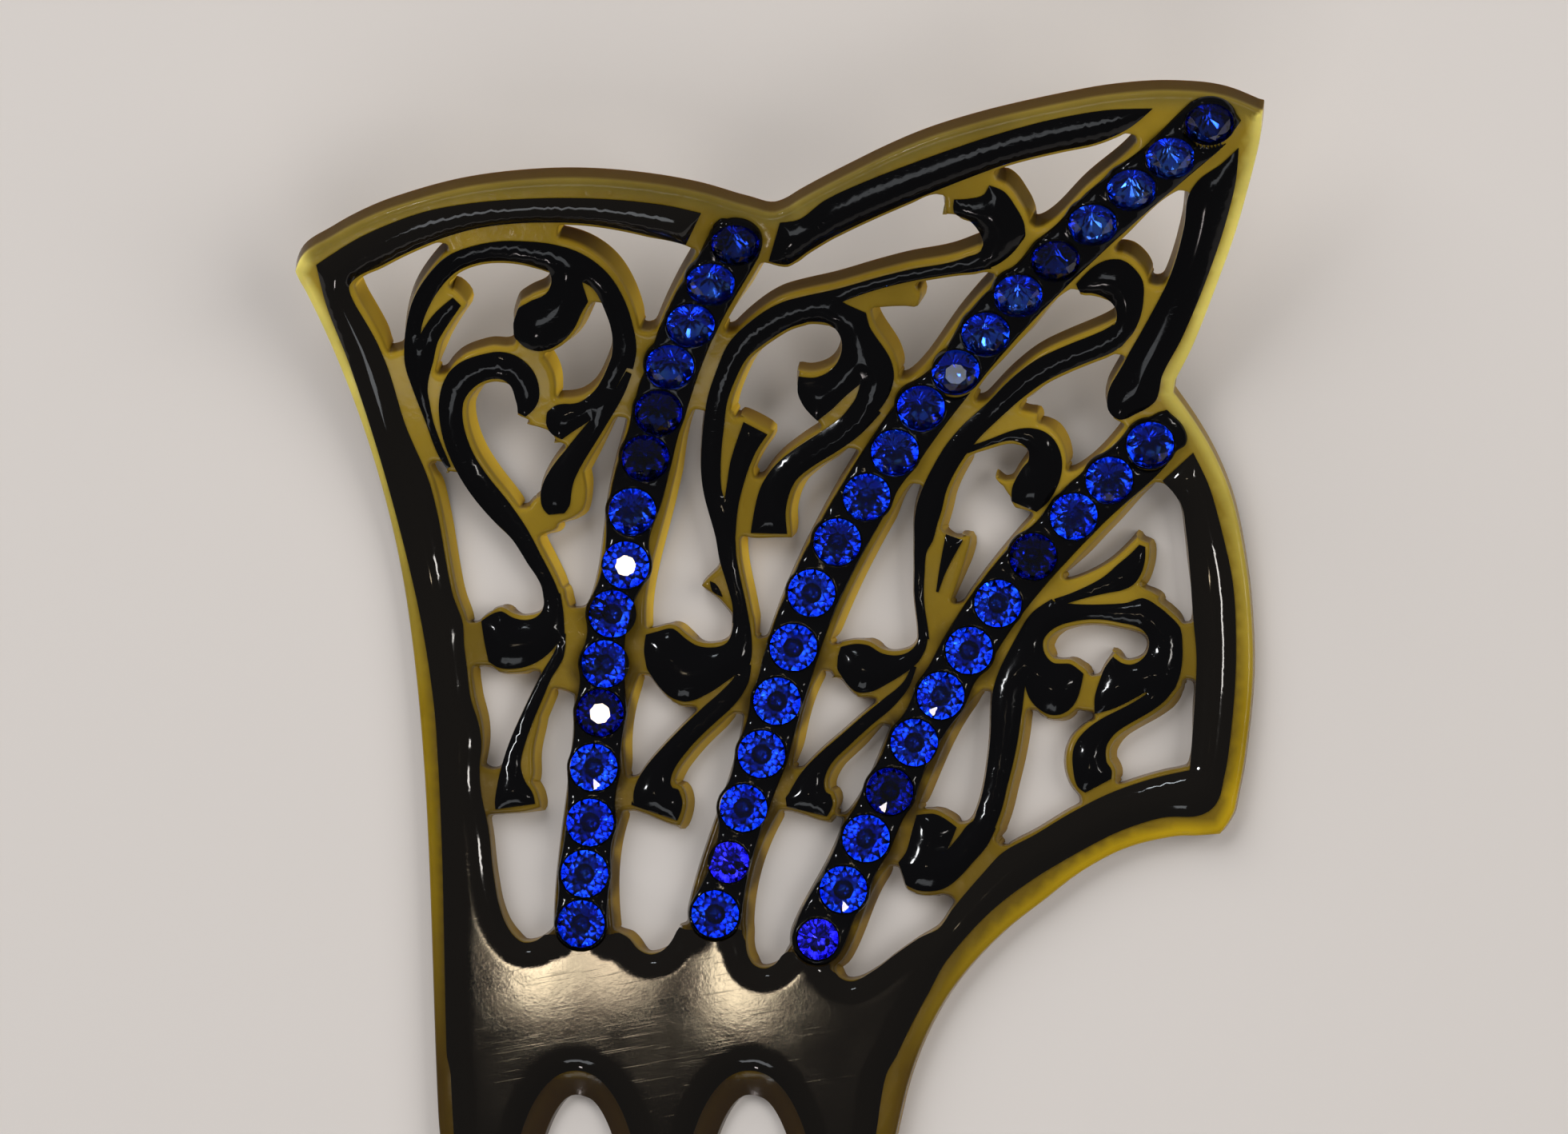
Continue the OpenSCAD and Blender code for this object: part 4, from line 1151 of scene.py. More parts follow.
@dataclass(frozen=True)
class FloorFinish:
    """Plain pale table top."""

    colour: tuple[float, float, float] = (0.65, 0.615, 0.590)
    roughness: float = 0.8

    def build(self) -> bpy.types.Material:
        """Makes the material.

        Returns:
            The material.
        """
        shader = Shader("pale_floor")
        shader.set(Base_Color=(*self.colour, 1.0), Roughness=self.roughness)
        return shader.material


@dataclass
class Stone:
    """A round stone in its seat: glass over a foiled pavilion. Sizes in millimetres."""

    name: str
    centre: np.ndarray
    tilt: float
    radius: float
    spin: float = 0.0
    lean: tuple[float, float] = (0.0, 0.0)
    table: float = 0.46
    base_rise: float = 0.25
    girdle: float = 0.30
    crown: float = 0.75
    pavilion: float = 1.30

    FACETS = 8
    KITE_RADIUS = 0.78
    KITE_HEIGHT = 0.55
    KEEL_RADIUS = 0.52
    KEEL_DEPTH = 0.56
    SEAT_STEPS = 4

    @classmethod
    def read(cls, name: str) -> "Stone":
        """Measures a stone's solid.

        Args:
            name: its node.

        Returns:
            The stone as it is seated.
        """
        low, high = (np.array(corner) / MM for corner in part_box(name))
        middle = (low + high) / 2.0
        half_height = cls.base_rise + (cls.girdle + cls.crown) / 2.0
        y = middle[1]
        for _ in range(cls.SEAT_STEPS):
            y = middle[1] + math.sin(CURL.tilt(y)) * half_height
        return cls(name, np.array([middle[0], y]), float(CURL.tilt(y)), (high[0] - low[0]) / 2.0)

    def axes(self) -> np.ndarray:
        """Works out the stone's own directions, with its lean and spin.

        Returns:
            Rows of its x, y and z directions.
        """
        square = np.array([
            [1.0, 0.0, 0.0],
            [0.0, math.cos(self.tilt), math.sin(self.tilt)],
            [0.0, -math.sin(self.tilt), math.cos(self.tilt)],
        ])
        up = unit(np.array([self.lean[0], self.lean[1], 1.0]))
        side = unit(np.cross(np.array([0.0, 1.0, 0.0]), up))
        leant = np.vstack([side, np.cross(up, side), up])
        c, s = math.cos(self.spin), math.sin(self.spin)
        spun = np.array([[c, s, 0.0], [-s, c, 0.0], [0.0, 0.0, 1.0]])
        return spun @ leant @ square

    def halfway(self, eye: tuple[float, float, float], lamp: tuple[float, float, float]) -> np.ndarray:
        """Direction in which a table mirrors a lamp towards the eye."""
        here = CURL.place(self.centre[None], np.array([self.base_rise]))[0]
        return unit(unit(np.array(eye) - here) + unit(np.array(lamp) - here))

    def off_mirror(self, eye: tuple[float, float, float], lamp: tuple[float, float, float]) -> float:
        """Angle by which the table misses that direction, in radians."""
        return math.acos(min(1.0, float(self.axes()[2] @ self.halfway(eye, lamp))))

    def mirror(self, eye: tuple[float, float, float], lamp: tuple[float, float, float]) -> None:
        """Leans the stone so that its table mirrors a lamp towards the eye.

        Args:
            eye: where it is seen from.
            lamp: what is mirrored.
        """
        half = self.halfway(eye, lamp)
        c, s = math.cos(self.tilt), math.sin(self.tilt)
        local = np.array([half[0], half[1] * c + half[2] * s, half[2] * c - half[1] * s])
        self.lean = (float(local[0] / local[2]), float(local[1] / local[2]))

    def build(self, glass: bpy.types.Material, foil: bpy.types.Material) -> bpy.types.Object:
        """Builds the faceted stone.

        Args:
            glass: material of the crown.
            foil: material of the pavilion.

        Returns:
            The object.
        """
        def ring(count: int, radius: float, turn: float, level: float) -> np.ndarray:
            """Points round the axis, turned by a share of the step between two."""
            angles = 2.0 * math.pi * (np.arange(count) + turn) / count
            return np.column_stack([radius * np.cos(angles), radius * np.sin(angles), np.full(count, level)])

        facets, r = self.FACETS, self.radius
        between = 0.5
        around = 2 * facets
        top = self.girdle + self.crown
        rings = np.vstack([
            ring(around, r, 0.0, 0.0),
            ring(around, r, 0.0, self.girdle),
            ring(facets, self.KITE_RADIUS * r, between, self.girdle + self.KITE_HEIGHT * self.crown),
            ring(facets, self.table * r, 0.0, top),
            ring(facets, self.KEEL_RADIUS * r, between, -self.KEEL_DEPTH * self.pavilion),
            [[0.0, 0.0, -self.pavilion]],
        ])
        shell = Shell()
        seat = CURL.place(self.centre[None], np.array([self.base_rise]))[0]
        shell.add(seat + rings @ self.axes())
        low, high, kite, table, keel, point = np.cumsum([0, around, around, facets, facets, facets]).tolist()
        i = np.arange(around)
        j = (i + 1) % around
        shell.fill(np.column_stack([low + i, low + j, high + j, high + i]))
        k = np.arange(facets)
        after = (k + 1) % facets
        before = (k - 1) % facets
        g0, g1, g2 = high + 2 * k, high + 2 * k + 1, high + 2 * after
        shell.fill(np.column_stack([g0, g1, kite + k]))
        shell.fill(np.column_stack([g1, g2, kite + k]))
        shell.fill(np.column_stack([g0, kite + k, table + k, kite + before]))
        shell.fill(np.column_stack([table + k, kite + k, table + after]))
        shell.fill((table + k)[None])
        p0, p1, p2 = low + 2 * k, low + 2 * k + 1, low + 2 * after
        shell.fill(np.column_stack([p1, p0, keel + k]), 1)
        shell.fill(np.column_stack([p2, p1, keel + k]), 1)
        shell.fill(np.column_stack([p0, keel + before, np.full(facets, point), keel + k]), 1)
        return shell.make(f"{self.name}_cut", [glass, foil], 0.0)


@dataclass
class Relief:
    """A black piece with rounded shoulders, laid on the amber face. Sizes in millimetres."""

    node: str
    rise: float = 0.75
    seat: float = 0.04
    edge_rise: float = 0.12
    shoulder: float = 2.3
    spacing: float = 0.32
    grid: float = 0.3
    rounds: int = 2
    corners: tuple[tuple[float, float], ...] = ()
    corner_reach: float = 1.0

    RING_SHARES = (0.06, 0.14, 0.24, 0.36)
    GRID_CLEAR = 0.5
    SLIVER = 0.05
    EVEN_SHARES = (0.15, 0.7)
    CREASE = math.radians(50.0)

    def outline(self, nodes: dict[str, bpy.types.Object]) -> list[Loop]:
        """Smooth loops of the piece.

        Args:
            nodes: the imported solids.

        Returns:
            The loops.
        """
        loops = SolidFace(nodes[self.node], self.rise).loops
        for apex in self.corners:
            loops = [loop.crisp(apex, self.corner_reach) for loop in loops]
        loops = [loop.smooth(self.spacing) for loop in loops]
        return [loop for loop in loops if abs(loop.area) > self.SLIVER]

    def rise_at(self, plan: np.ndarray, depth: np.ndarray) -> np.ndarray:
        """Height of the upper surface above the amber.

        Args:
            plan: rows of x, y.
            depth: their distance to the edge.

        Returns:
            The heights.
        """
        return self.edge_rise + (self.rise - self.edge_rise) * domed_rise(depth, self.shoulder)

    def slopes(self, nodes: dict[str, bpy.types.Object], loops: list[Loop]) -> EdgeField:
        """Finds the edges from which the piece rises.

        Args:
            nodes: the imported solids.
            loops: the piece's own loops.

        Returns:
            The distance to them.
        """
        return EdgeField(loops)

    def freedom(self, depth: np.ndarray) -> np.ndarray:
        """How far the heights may be evened out: not at all at the edge, and fully well up the shoulder.

        Args:
            depth: distances to the edge.

        Returns:
            Shares from 0 to 1.
        """
        start, full = self.EVEN_SHARES
        return ease(depth, start * self.shoulder, full * self.shoulder)

    def build(self, nodes: dict[str, bpy.types.Object], material: bpy.types.Material) -> bpy.types.Object:
        """Builds the piece.

        Args:
            nodes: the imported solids.
            material: its finish.

        Returns:
            The object.
        """
        loops = self.outline(nodes)
        edge = EdgeField(loops)
        depths = tuple(self.shoulder * share for share in self.RING_SHARES)
        rings = shoulder_rings(loops, depths, edge)
        grid = grid_inside(loops, self.grid)
        grid = grid[edge.distance(grid) > depths[-1] + self.GRID_CLEAR * self.grid]
        surface = PlanMesh(loops, np.vstack([rings, grid]))
        depth = self.slopes(nodes, loops).distance(surface.plan)
        rise = surface.smoothed(self.rise_at(surface.plan, depth), self.freedom(depth), self.rounds)
        shell = Shell()
        top = shell.add(CURL.place(surface.plan, rise))
        shell.fill(top + surface.triangles)
        under = PlanMesh(loops, np.zeros((0, 2)))
        base = shell.add(CURL.place(under.plan, np.full(len(under.plan), self.seat)))
        shell.fill(base + under.triangles[:, ::-1])
        for start, loop in zip(surface.starts, loops):
            shell.wall(int(top + start), int(base + start), len(loop.points))
        made = shell.make(f"{self.node}_relief", [material], self.CREASE)
        even_normals(made, surface)
        return made


@dataclass
class Plate(Relief):
    """The lower plate, flatter, with broad shoulders round its slots, and the strips that run up from it."""

    node: str = "black_plate"
    shoulder: float = 1.8
    rounds: int = 2
    corners: tuple[tuple[float, float], ...] = ((35.7, 21.4),)
    plate_top: float = 9.0
    strip_start: float = 17.0
    broad: float = 1.5
    channels: tuple[str, ...] = ("left_channel", "middle_channel", "right_channel")
    mouth: float = 0.5
    grow: float = 0.28
    grow_left: float = -27.5
    strip_right: float = -21.0
    grow_right: float = 13.0
    grow_fade: float = 1.0
    grow_start: tuple[float, float] = (-0.5, 1.5)
    strip_grow_top: float = 28.0
    plate_grow_top: float = 17.5
    top_fade: float = 2.5

    def outline(self, nodes: dict[str, bpy.types.Object]) -> list[Loop]:
        """Smooth loops of the plate, grown towards the openings above it.

        Args:
            nodes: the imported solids.

        Returns:
            The loops.
        """
        across = (
            self.grow_left - self.grow_fade, self.grow_left + self.grow_fade,
            self.grow_right - self.grow_fade, self.grow_right + self.grow_fade,
        )
        mouths = self._mouths(nodes)
        grown = []
        for loop in super().outline(nodes):
            x, y = loop.points.T
            top = np.where(x < self.strip_right, self.strip_grow_top, self.plate_grow_top)
            share = window(x, across) * ease(y, *self.grow_start)
            share = share * fade(y - top, -self.top_fade, self.top_fade)
            share = share * ease(mouths.distance(loop.points), self.mouth, 2.0 * self.mouth)
            grown.append(loop.moved(-loop.inward() * (self.grow * share)[:, None]))
        return grown

    def slopes(self, nodes: dict[str, bpy.types.Object], loops: list[Loop]) -> EdgeField:
        """Finds the edges from which the plate rises: all but those at the feet of the channels.

        Args:
            nodes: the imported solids.
            loops: the plate's own loops.

        Returns:
            The distance to them.
        """
        return EdgeField(loops, self._mouths(nodes), self.mouth)

    def _mouths(self, nodes: dict[str, bpy.types.Object]) -> EdgeField:
        """Finds the borders of the channels.

        Args:
            nodes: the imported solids.

        Returns:
            The distance to them.
        """
        faces = [SolidFace(nodes[name], self.rise) for name in self.channels]
        return EdgeField([loop for face in faces for loop in face.loops])

    def rise_at(self, plan: np.ndarray, depth: np.ndarray) -> np.ndarray:
        """Height of the upper surface above the amber.

        Args:
            plan: rows of x, y.
            depth: their distance to the edge.

        Returns:
            The heights.
        """
        share = ease(plan[:, 1], self.plate_top, self.strip_start)
        shoulder = self.broad + (self.shoulder - self.broad) * share
        return self.edge_rise + (self.rise - self.edge_rise) * domed_rise(depth, shoulder)


@dataclass
class Channel(Relief):
    """A black channel with a cup for each of its stones."""

    stones: list[Stone] = field(default_factory=list)
    shoulder: float = 0.45
    spacing: float = 0.3
    grid: float = 0.2
    rounds: int = 1
    clearance: float = 0.04
    cup: float = 0.27
    bead: float = 0.10
    bead_width: float = 0.09
    dip: float = 0.22
    dip_reach: tuple[float, float] = (0.1, 0.5)
    border_drop: float = 0.7

    LEAST_AREA = 1.0
    SEAT_MARGIN = 0.005
    BORDER_MARGIN = 0.02
    EVEN_DEPTH = 0.05
    EVEN_SHARE = 0.5

    def outline(self, nodes: dict[str, bpy.types.Object]) -> list[Loop]:
        """The channel's border, swollen round the stones, and its seats.

        Args:
            nodes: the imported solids.

        Returns:
            The loops.
        """
        found = SolidFace(nodes[self.node], self.rise).loops
        solid = [loop for loop in found if loop.area > self.LEAST_AREA]
        seats = [seat_loop(stone, stone.radius + self.clearance) for stone in self.stones]
        cups = [seat_loop(stone, stone.radius + self.cup) for stone in self.stones]
        border = united(solid + [Loop(cup.points[::-1]) for cup in cups])
        return [loop.smooth(self.spacing) for loop in border if loop.area > self.LEAST_AREA] + seats

    def rise_at(self, plan: np.ndarray, depth: np.ndarray) -> np.ndarray:
        """Height of the upper surface: low at the border, a bead round each seat.

        Args:
            plan: rows of x, y.
            depth: their distance to the edge.

        Returns:
            The heights.
        """
        offsets = [
            np.hypot(plan[:, 0] - s.centre[0], (plan[:, 1] - s.centre[1]) / math.cos(s.tilt)) - s.radius
            for s in self.stones
        ]
        near_seat = np.min(offsets, axis=0)
        bead = self.bead * np.exp(-((near_seat - self.bead_width) / self.bead_width) ** 2)
        away = near_seat - self.clearance
        dip = self.dip * ease(away, *self.dip_reach)
        at_border = (depth < away - self.SEAT_MARGIN) | (away > self.BORDER_MARGIN)
        drop = np.where(at_border, 1.0 - arc_rise(depth, self.shoulder), 0.0)
        return self.rise + bead - dip - drop * (self.rise - self.edge_rise) * self.border_drop

    def freedom(self, depth: np.ndarray) -> np.ndarray:
        """How far the heights may be evened out."""
        return np.where(depth > self.EVEN_DEPTH, self.EVEN_SHARE, 0.0)


def seat_loop(stone: Stone, radius: float, count: int = 40) -> Loop:
    """Round opening in the plan under a stone.

    Args:
        stone: what sits in it.
        radius: its radius on the face.
        count: its points.

    Returns:
        The loop, turned as an opening is.
    """
    angles = -2.0 * math.pi * np.arange(count) / count
    return Loop(stone.centre + np.column_stack([
        radius * np.cos(angles), radius * np.sin(angles) * math.cos(stone.tilt)]))


@dataclass(frozen=True)
class Spot:
    """A dark tortoise spot in the amber. Sizes in millimetres."""

    x: float
    y: float
    width: float
    height: float
    depth: float


@dataclass
class AmberSheet:
    """The pierced amber sheet with its prongs. Sizes in millimetres.

    Its mesh carries five numbers for the finish: wall on the cut edges, rim at the outer edge of the face,
    tone where the face is pale, painted golden light where a cut edge faces right or down the comb, and
    shade
    where the amber is dark: painted shade at the top edge of the head, on the cut edges that face up the
    comb, beside the runs and in the pits, together with its darker spots, sides and bevels.
    """

    node: str = "amber_sheet"
    thickness: float = CURL.thickness
    centres: list[np.ndarray] = field(default_factory=list)

    # Steps of the mesh
    spacing: float = 0.38
    grid: float = 0.8
    back_grid: float = 1.6
    wall_rows: int = 4

    # Rounded edges, and the one sharp corner
    round_outer: float = 0.5
    round_hole: float = 0.3
    corner: tuple[float, float] = (36.3, 19.35)
    corner_reach: float = 1.0

    # Lean of the cut edges
    draft: float = 0.12
    draft_share: float = 0.3
    lean: float = 0.55
    outer_lean: float = 0.25
    steep: float = 0.75

    # Shift of the edges of the face
    left_ease: float = 0.38
    left_top: tuple[float, float] = (38.0, 60.0)
    right_grow: float = 0.12
    right_ease: float = 0.42
    ease_share: float = 0.4

    # Pits under the stones
    pit_share: float = 0.9
    pit_depth: float = 1.4

    # Bevels round the gaps of the prongs
    middle_x: float = -9.3
    inner_half: float = 14.2
    gap_top: float = -0.8
    bevel_low: float = 1.05
    bevel_high: float = 2.3
    bevel_depth: float = 1.1
    bevel_y: tuple[float, float] = (-19.0, -2.5)
    bevel_curve: float = 1.4

    # Pale places, and painted golden light on the cut edges
    tone_x: float = -0.7
    rim_band: tuple[float, float] = (0.3, 1.3)
    edge_light_low: float = 0.15
    edge_light_fade: float = 0.6

    # Dark places: how dark each is, and where it fades
    # Painted shade: a dark band along the top edge of the head
    top_shade: float = 0.62
    top_reach: float = 1.6
    # Painted shade on the amber beside the runs of stones, low on the comb
    run_shade: float = 0.72
    run_reach: tuple[float, float] = (2.6, 3.3)
    run_top: tuple[float, float] = (28.0, 44.0)
    # Painted shade on the cut edges that face up the comb, high on the head
    cut_shade: float = 0.72
    left_shade: float = 0.50
    left_x: tuple[float, float] = (-24.0, -20.0)
    right_shade: float = 0.34
    right_x: tuple[float, float] = (28.0, 32.0)
    right_y: tuple[float, float, float, float] = (20.5, 27.0, 52.0, 66.0)
    gap_shade: float = 0.88
    gap_fade: tuple[float, float] = (-0.2, 1.2)
    spots: tuple[Spot, ...] = (
        Spot(0.3, 71.0, 3.2, 1.5, 0.9),
        Spot(1.8, 71.4, 2.6, 1.2, 0.6),
        Spot(-7.5, 73.6, 4.5, 0.9, 0.70),
        Spot(9.5, 75.4, 5.0, 0.8, 0.72),
        Spot(38.2, 79.5, 2.5, 1.6, 0.73),
        Spot(31.0, 80.0, 3.5, 0.9, 0.70),
    )

    RING_DEPTHS = (0.05, 0.13, 0.28, 0.5)
    GRID_CLEAR = 0.4
    BACK_CLEAR = 0.5
    LEAST_HOLE = 0.3
    PIT_POINTS = 32
    RIM_DROP = 0.7
    PROBE = 0.03
    WIDEST = 4.0
    LOWER_STEPS = 6
    LOWER_EVEN = 0.2
    CREASE = math.radians(48.0)

    # Marks of the cut edges and of the back
    FIRST_WALL = 0.5
    BACK_WALL = 0.3
    WALL_TONE = 0.5

    # The rim where it faces up the comb, the painted golden light on the cut edges and the pale face
    UPWARD_STEP = 0.3
    UPWARD_RIM = 0.8
    EDGE_LIGHT_DOWN = 0.6
    TONE_SHARES = (0.10, 0.38, 0.42)

    # Ranges over which a share rises or falls: directions first, then places
    SIDE_FACING = (0.0, 0.8)
    WALL_FACING = (0.0, 0.9)
    UPWARD_FACING = (0.5, 0.95)
    CUT_FACING = (0.1, 0.5)
    EDGE_LIGHT_FACING = (-0.2, 0.6)
    RIGHT_Y = (5.0, 15.0)
    UPWARD_Y = (48.0, 60.0)
    CUT_Y = (50.0, 68.0)
    EDGE_LIGHT_Y = (12.0, 42.0)
    EDGE_LIGHT_X = (0.0, 12.0)
    TONE_SIDE = (8.0, 28.0)
    TONE_Y = (5.0, 70.0)
    TONE_SIDE_Y = (5.0, 55.0)
    SPOT_EDGE = (0.3, 1.0)
    STEEP_X = (-24.0, -19.0)
    STEEP_Y = (22.0, 30.0)

    def build(
        self, nodes: dict[str, bpy.types.Object], stones: list[Stone], material: bpy.types.Material
    ) -> bpy.types.Object:
        """Builds the sheet.

        Args:
            nodes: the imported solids.
            stones: the stones whose pits it has.
            material: its finish.

        Returns:
            The object.
        """
        self.centres = [stone.centre for stone in stones]
        found = SolidFace(nodes[self.node], 0.0).loops
        found = [loop.crisp(self.corner, self.corner_reach).smooth(self.spacing) for loop in found]
        outer = self._face_edge(found[0])
        holes = [loop for loop in found[1:] if loop.area < -self.LEAST_HOLE]
        holes = [self._eased_right(loop, [outer] + holes) for loop in holes]
        pits = [seat_loop(stone, stone.radius * self.pit_share, self.PIT_POINTS) for stone in stones]
        rims = [outer] + holes
        loops = rims + pits
        edge = EdgeField(loops)
        outer_edge = EdgeField([outer])
        rings = shoulder_rings(rims, self.RING_DEPTHS, edge)
        rings = rings[is_inside(rings, loops)]
        grid = grid_inside(loops, self.grid)
        grid = grid[edge.distance(grid) > self.RING_DEPTHS[-1] + self.GRID_CLEAR * self.grid]
        face = PlanMesh(loops, np.vstack([rings, grid]))
        to_outer = outer_edge.distance(face.plan)
        rise = self._face_rise(face.plan, to_outer, EdgeField(holes).distance(face.plan))
        shell = Shell()
        # Painted shade: along the top edge of the head the pale rim gives way to a dark band
        upward = self._upward(face.plan, to_outer, outer_edge)
        rim = fade(to_outer, *self.rim_band) * (1.0 - self.UPWARD_RIM * upward)
        painted_top_shade = self.top_shade * upward * fade(to_outer, 0.0, self.top_reach)
        shade = np.maximum(self._shade(face.plan), painted_top_shade)
        tone = self._tone(face.plan)
        top = shell.add(CURL.place(face.plan, rise), wall=0.0, rim=rim, tone=tone, gold=0.0, shade=shade)
        shell.fill(top + face.triangles)
        lower_loops = []
        for start, loop in zip(face.starts, rims):
            low = self._lower(loop, rims)
            lower_loops.append(low)
            self._walls(shell, int(top + start), loop, low, rise[start:start + len(loop.points)])
        back_grid = grid_inside(lower_loops, self.back_grid)
        back_edge = EdgeField(lower_loops)
        back_grid = back_grid[back_edge.distance(back_grid) > self.BACK_CLEAR * self.back_grid]
        back = PlanMesh(lower_loops, back_grid)
        behind = shell.add(
            CURL.place(back.plan, np.full(len(back.plan), -self.thickness)),
            wall=self.BACK_WALL, rim=0.0, tone=self._tone(back.plan), gold=0.0, shade=self._shade(back.plan),
        )
        shell.fill(behind + back.triangles[:, ::-1])
        self._pits(shell, top, face, stones, len(rims))
        return shell.make("amber_body", [material], self.CREASE)

    def _walls(self, shell: Shell, ring: int, loop: Loop, low: Loop, upper_rise: np.ndarray) -> None:
        """Adds the cut edge under one outline, row by row.

        Args:
            shell: what it is added to.
            ring: first vertex of the outline on the face.
            loop: the outline on the face.
            low: the outline at the back.
            upper_rise: height of the face at each point.
        """
        # Painted light: golden cut edges where they face right or down the comb
        gold = self._painted_edge_light(loop)
        for row in range(1, self.wall_rows + 1):
            share = row / self.wall_rows
            plan = loop.points * (1.0 - share) + low.points * share
            at = upper_rise * (1.0 - share) - self.thickness * share
            # Painted shade on the cut edges that face up the comb, over the amber's other dark places
            shade = np.maximum(self._shade(plan), self._cut_shade(loop))
            cut = self.FIRST_WALL + (1.0 - self.FIRST_WALL) * share
            following = shell.add(
                CURL.place(plan, at), wall=cut, rim=0.0, tone=self.WALL_TONE, gold=gold, shade=shade
            )
            shell.wall(ring, following, len(loop.points))
            ring = following

    def _face_edge(self, silhouette: Loop) -> Loop:
        """The face's own edge inside the silhouette: the tilted sheet shows its upper cut edge from above.

        Args:
            silhouette: the outline of the sheet as seen from above.

        Returns:
            The edge of the face.
        """
        outward = -silhouette.inward()
        tilt = CURL.tilt(silhouette.points[:, 1])
        back = self.thickness * np.sin(tilt) * (outward[:, 1] > 0.0)
        y = silhouette.points[:, 1] - back
        left = self.left_ease * ease(-outward[:, 0], *self.SIDE_FACING) * fade(y, *self.left_top)
        right = self.right_grow * ease(outward[:, 0], *self.SIDE_FACING) * ease(y, *self.RIGHT_Y)
        moved = np.column_stack([silhouette.points[:, 0] + left + right, y])
        probe = silhouette.points - self.PROBE * outward
        probe[:, 1] -= back
        above = probe + np.column_stack([np.zeros(len(y)), self.thickness * np.sin(CURL.tilt(y))])
        within = is_inside(probe, [silhouette]) & is_inside(above, [silhouette])
        return Loop(moved[within])

    def _eased_right(self, loop: Loop, rims: list[Loop]) -> Loop:
        """Widens an opening at its right side, by less where little amber is left there.

        Args:
            loop: the opening.
            rims: all the outlines.

        Returns:
            The widened opening.
        """
        inward = loop.inward()
        room = clear_width(loop, inward, rims, self.WIDEST)
        shift = np.minimum(self.right_ease, self.ease_share * room) * ease(inward[:, 0], *self.SIDE_FACING)
        return loop.moved(np.column_stack([shift, np.zeros(len(shift))]))

    def _upward(self, plan: np.ndarray, to_outer: np.ndarray, outer_edge: EdgeField) -> np.ndarray:
        """How squarely the nearest part of the outer edge faces up the comb, on the head.

        Args:
            plan: rows of x, y.
            to_outer: their distance to the outer edge.
            outer_edge: what measures it.

        Returns:
            Shares from 0 to 1.
        """
        below = outer_edge.distance(plan - np.array([0.0, self.UPWARD_STEP]))
        facing = ease((below - to_outer) / self.UPWARD_STEP, *self.UPWARD_FACING)
        return facing * ease(plan[:, 1], *self.UPWARD_Y)

    def _painted_edge_light(self, loop: Loop) -> np.ndarray:
        """Share of painted golden light on a cut edge: where it faces right or down the comb, as if lit from
        there, more so higher up.

        Args:
            loop: the outline.

        Returns:
            The share at each point.
        """
        outward = -loop.inward()
        facing = ease(outward[:, 0] - self.EDGE_LIGHT_DOWN * outward[:, 1], *self.EDGE_LIGHT_FACING)
        x, y = loop.points.T
        share = self.edge_light_low + (1.0 - self.edge_light_low) * ease(y, *self.EDGE_LIGHT_Y)
        return facing * share * (1.0 - self.edge_light_fade * ease(x, *self.EDGE_LIGHT_X))

    def _tone(self, plan: np.ndarray) -> np.ndarray:
        """How pale the face is: paler higher up and towards both sides.

        Args:
            plan: rows of x, y.

        Returns:
            Shares from 0 to 1.
        """
        x, y = plan.T
        least, high, side = self.TONE_SHARES
        beside = ease(np.abs(x - self.tone_x), *self.TONE_SIDE) * ease(y, *self.TONE_SIDE_Y)
        return np.clip(least + high * ease(y, *self.TONE_Y) + side * beside, 0.0, 1.0)

    def _face_rise(self, plan: np.ndarray, to_outer: np.ndarray, to_hole: np.ndarray) -> np.ndarray:
        """Height of the face: rounded at the rim and the openings, bevelled round the gaps of the prongs.

        Args:
            plan: rows of x, y.
            to_outer: their distance to the outer edge.
            to_hole: their distance to the openings.

        Returns:
            The heights.
        """
        rise = -self.round_outer * self.RIM_DROP * (1.0 - arc_rise(to_outer, self.round_outer))
        rise = np.minimum(rise, -self.round_hole * (1.0 - arc_rise(to_hole, self.round_hole)))
        between = (np.abs(plan[:, 0] - self.middle_x) < self.inner_half) & (plan[:, 1] < self.gap_top)
        width = self.bevel_low + (self.bevel_high - self.bevel_low) * ease(plan[:, 1], *self.bevel_y)
        slope = -self.bevel_depth * np.clip(1.0 - to_outer / width, 0.0, 1.0) ** self.bevel_curve
        return np.where(between, np.minimum(rise, slope), rise)

    def _shade(self, plan: np.ndarray) -> np.ndarray:
        """Dark share of the amber: its spots, both sides, the bevels of the gaps, and painted shade at the
        feet of the runs.

        Args:
            plan: rows of x, y.

        Returns:
            Shares from 0 to 1.
        """
        x, y = plan.T
        to_stone = np.min([np.hypot(x - at[0], y - at[1]) for at in self.centres], axis=0)
        inner = np.abs(x - self.middle_x) < self.inner_half
        start, end = self.gap_fade
        shades = [
            self.left_shade * fade(y, *self.left_top) * fade(x, *self.left_x),
            self.right_shade * ease(x, *self.right_x) * window(y, self.right_y),
            self.gap_shade * inner * fade(y, self.gap_top + start, self.gap_top + end),
            # Painted shade beside the runs of stones, low on the comb
            self.run_shade * fade(to_stone, *self.run_reach) * fade(y, *self.run_top),
        ]
        for spot in self.spots:
            away = np.hypot((x - spot.x) / spot.width, (y - spot.y) / spot.height)
            shades.append(spot.depth * fade(away, *self.SPOT_EDGE))
        return np.max(shades, axis=0)

    def _cut_shade(self, rim: Loop) -> np.ndarray:
        """Painted shade on the cut edges that face up the comb, high on the head."""
        facing = ease(-rim.inward()[:, 1], *self.CUT_FACING)
        return self.cut_shade * facing * ease(rim.points[:, 1], *self.CUT_Y)

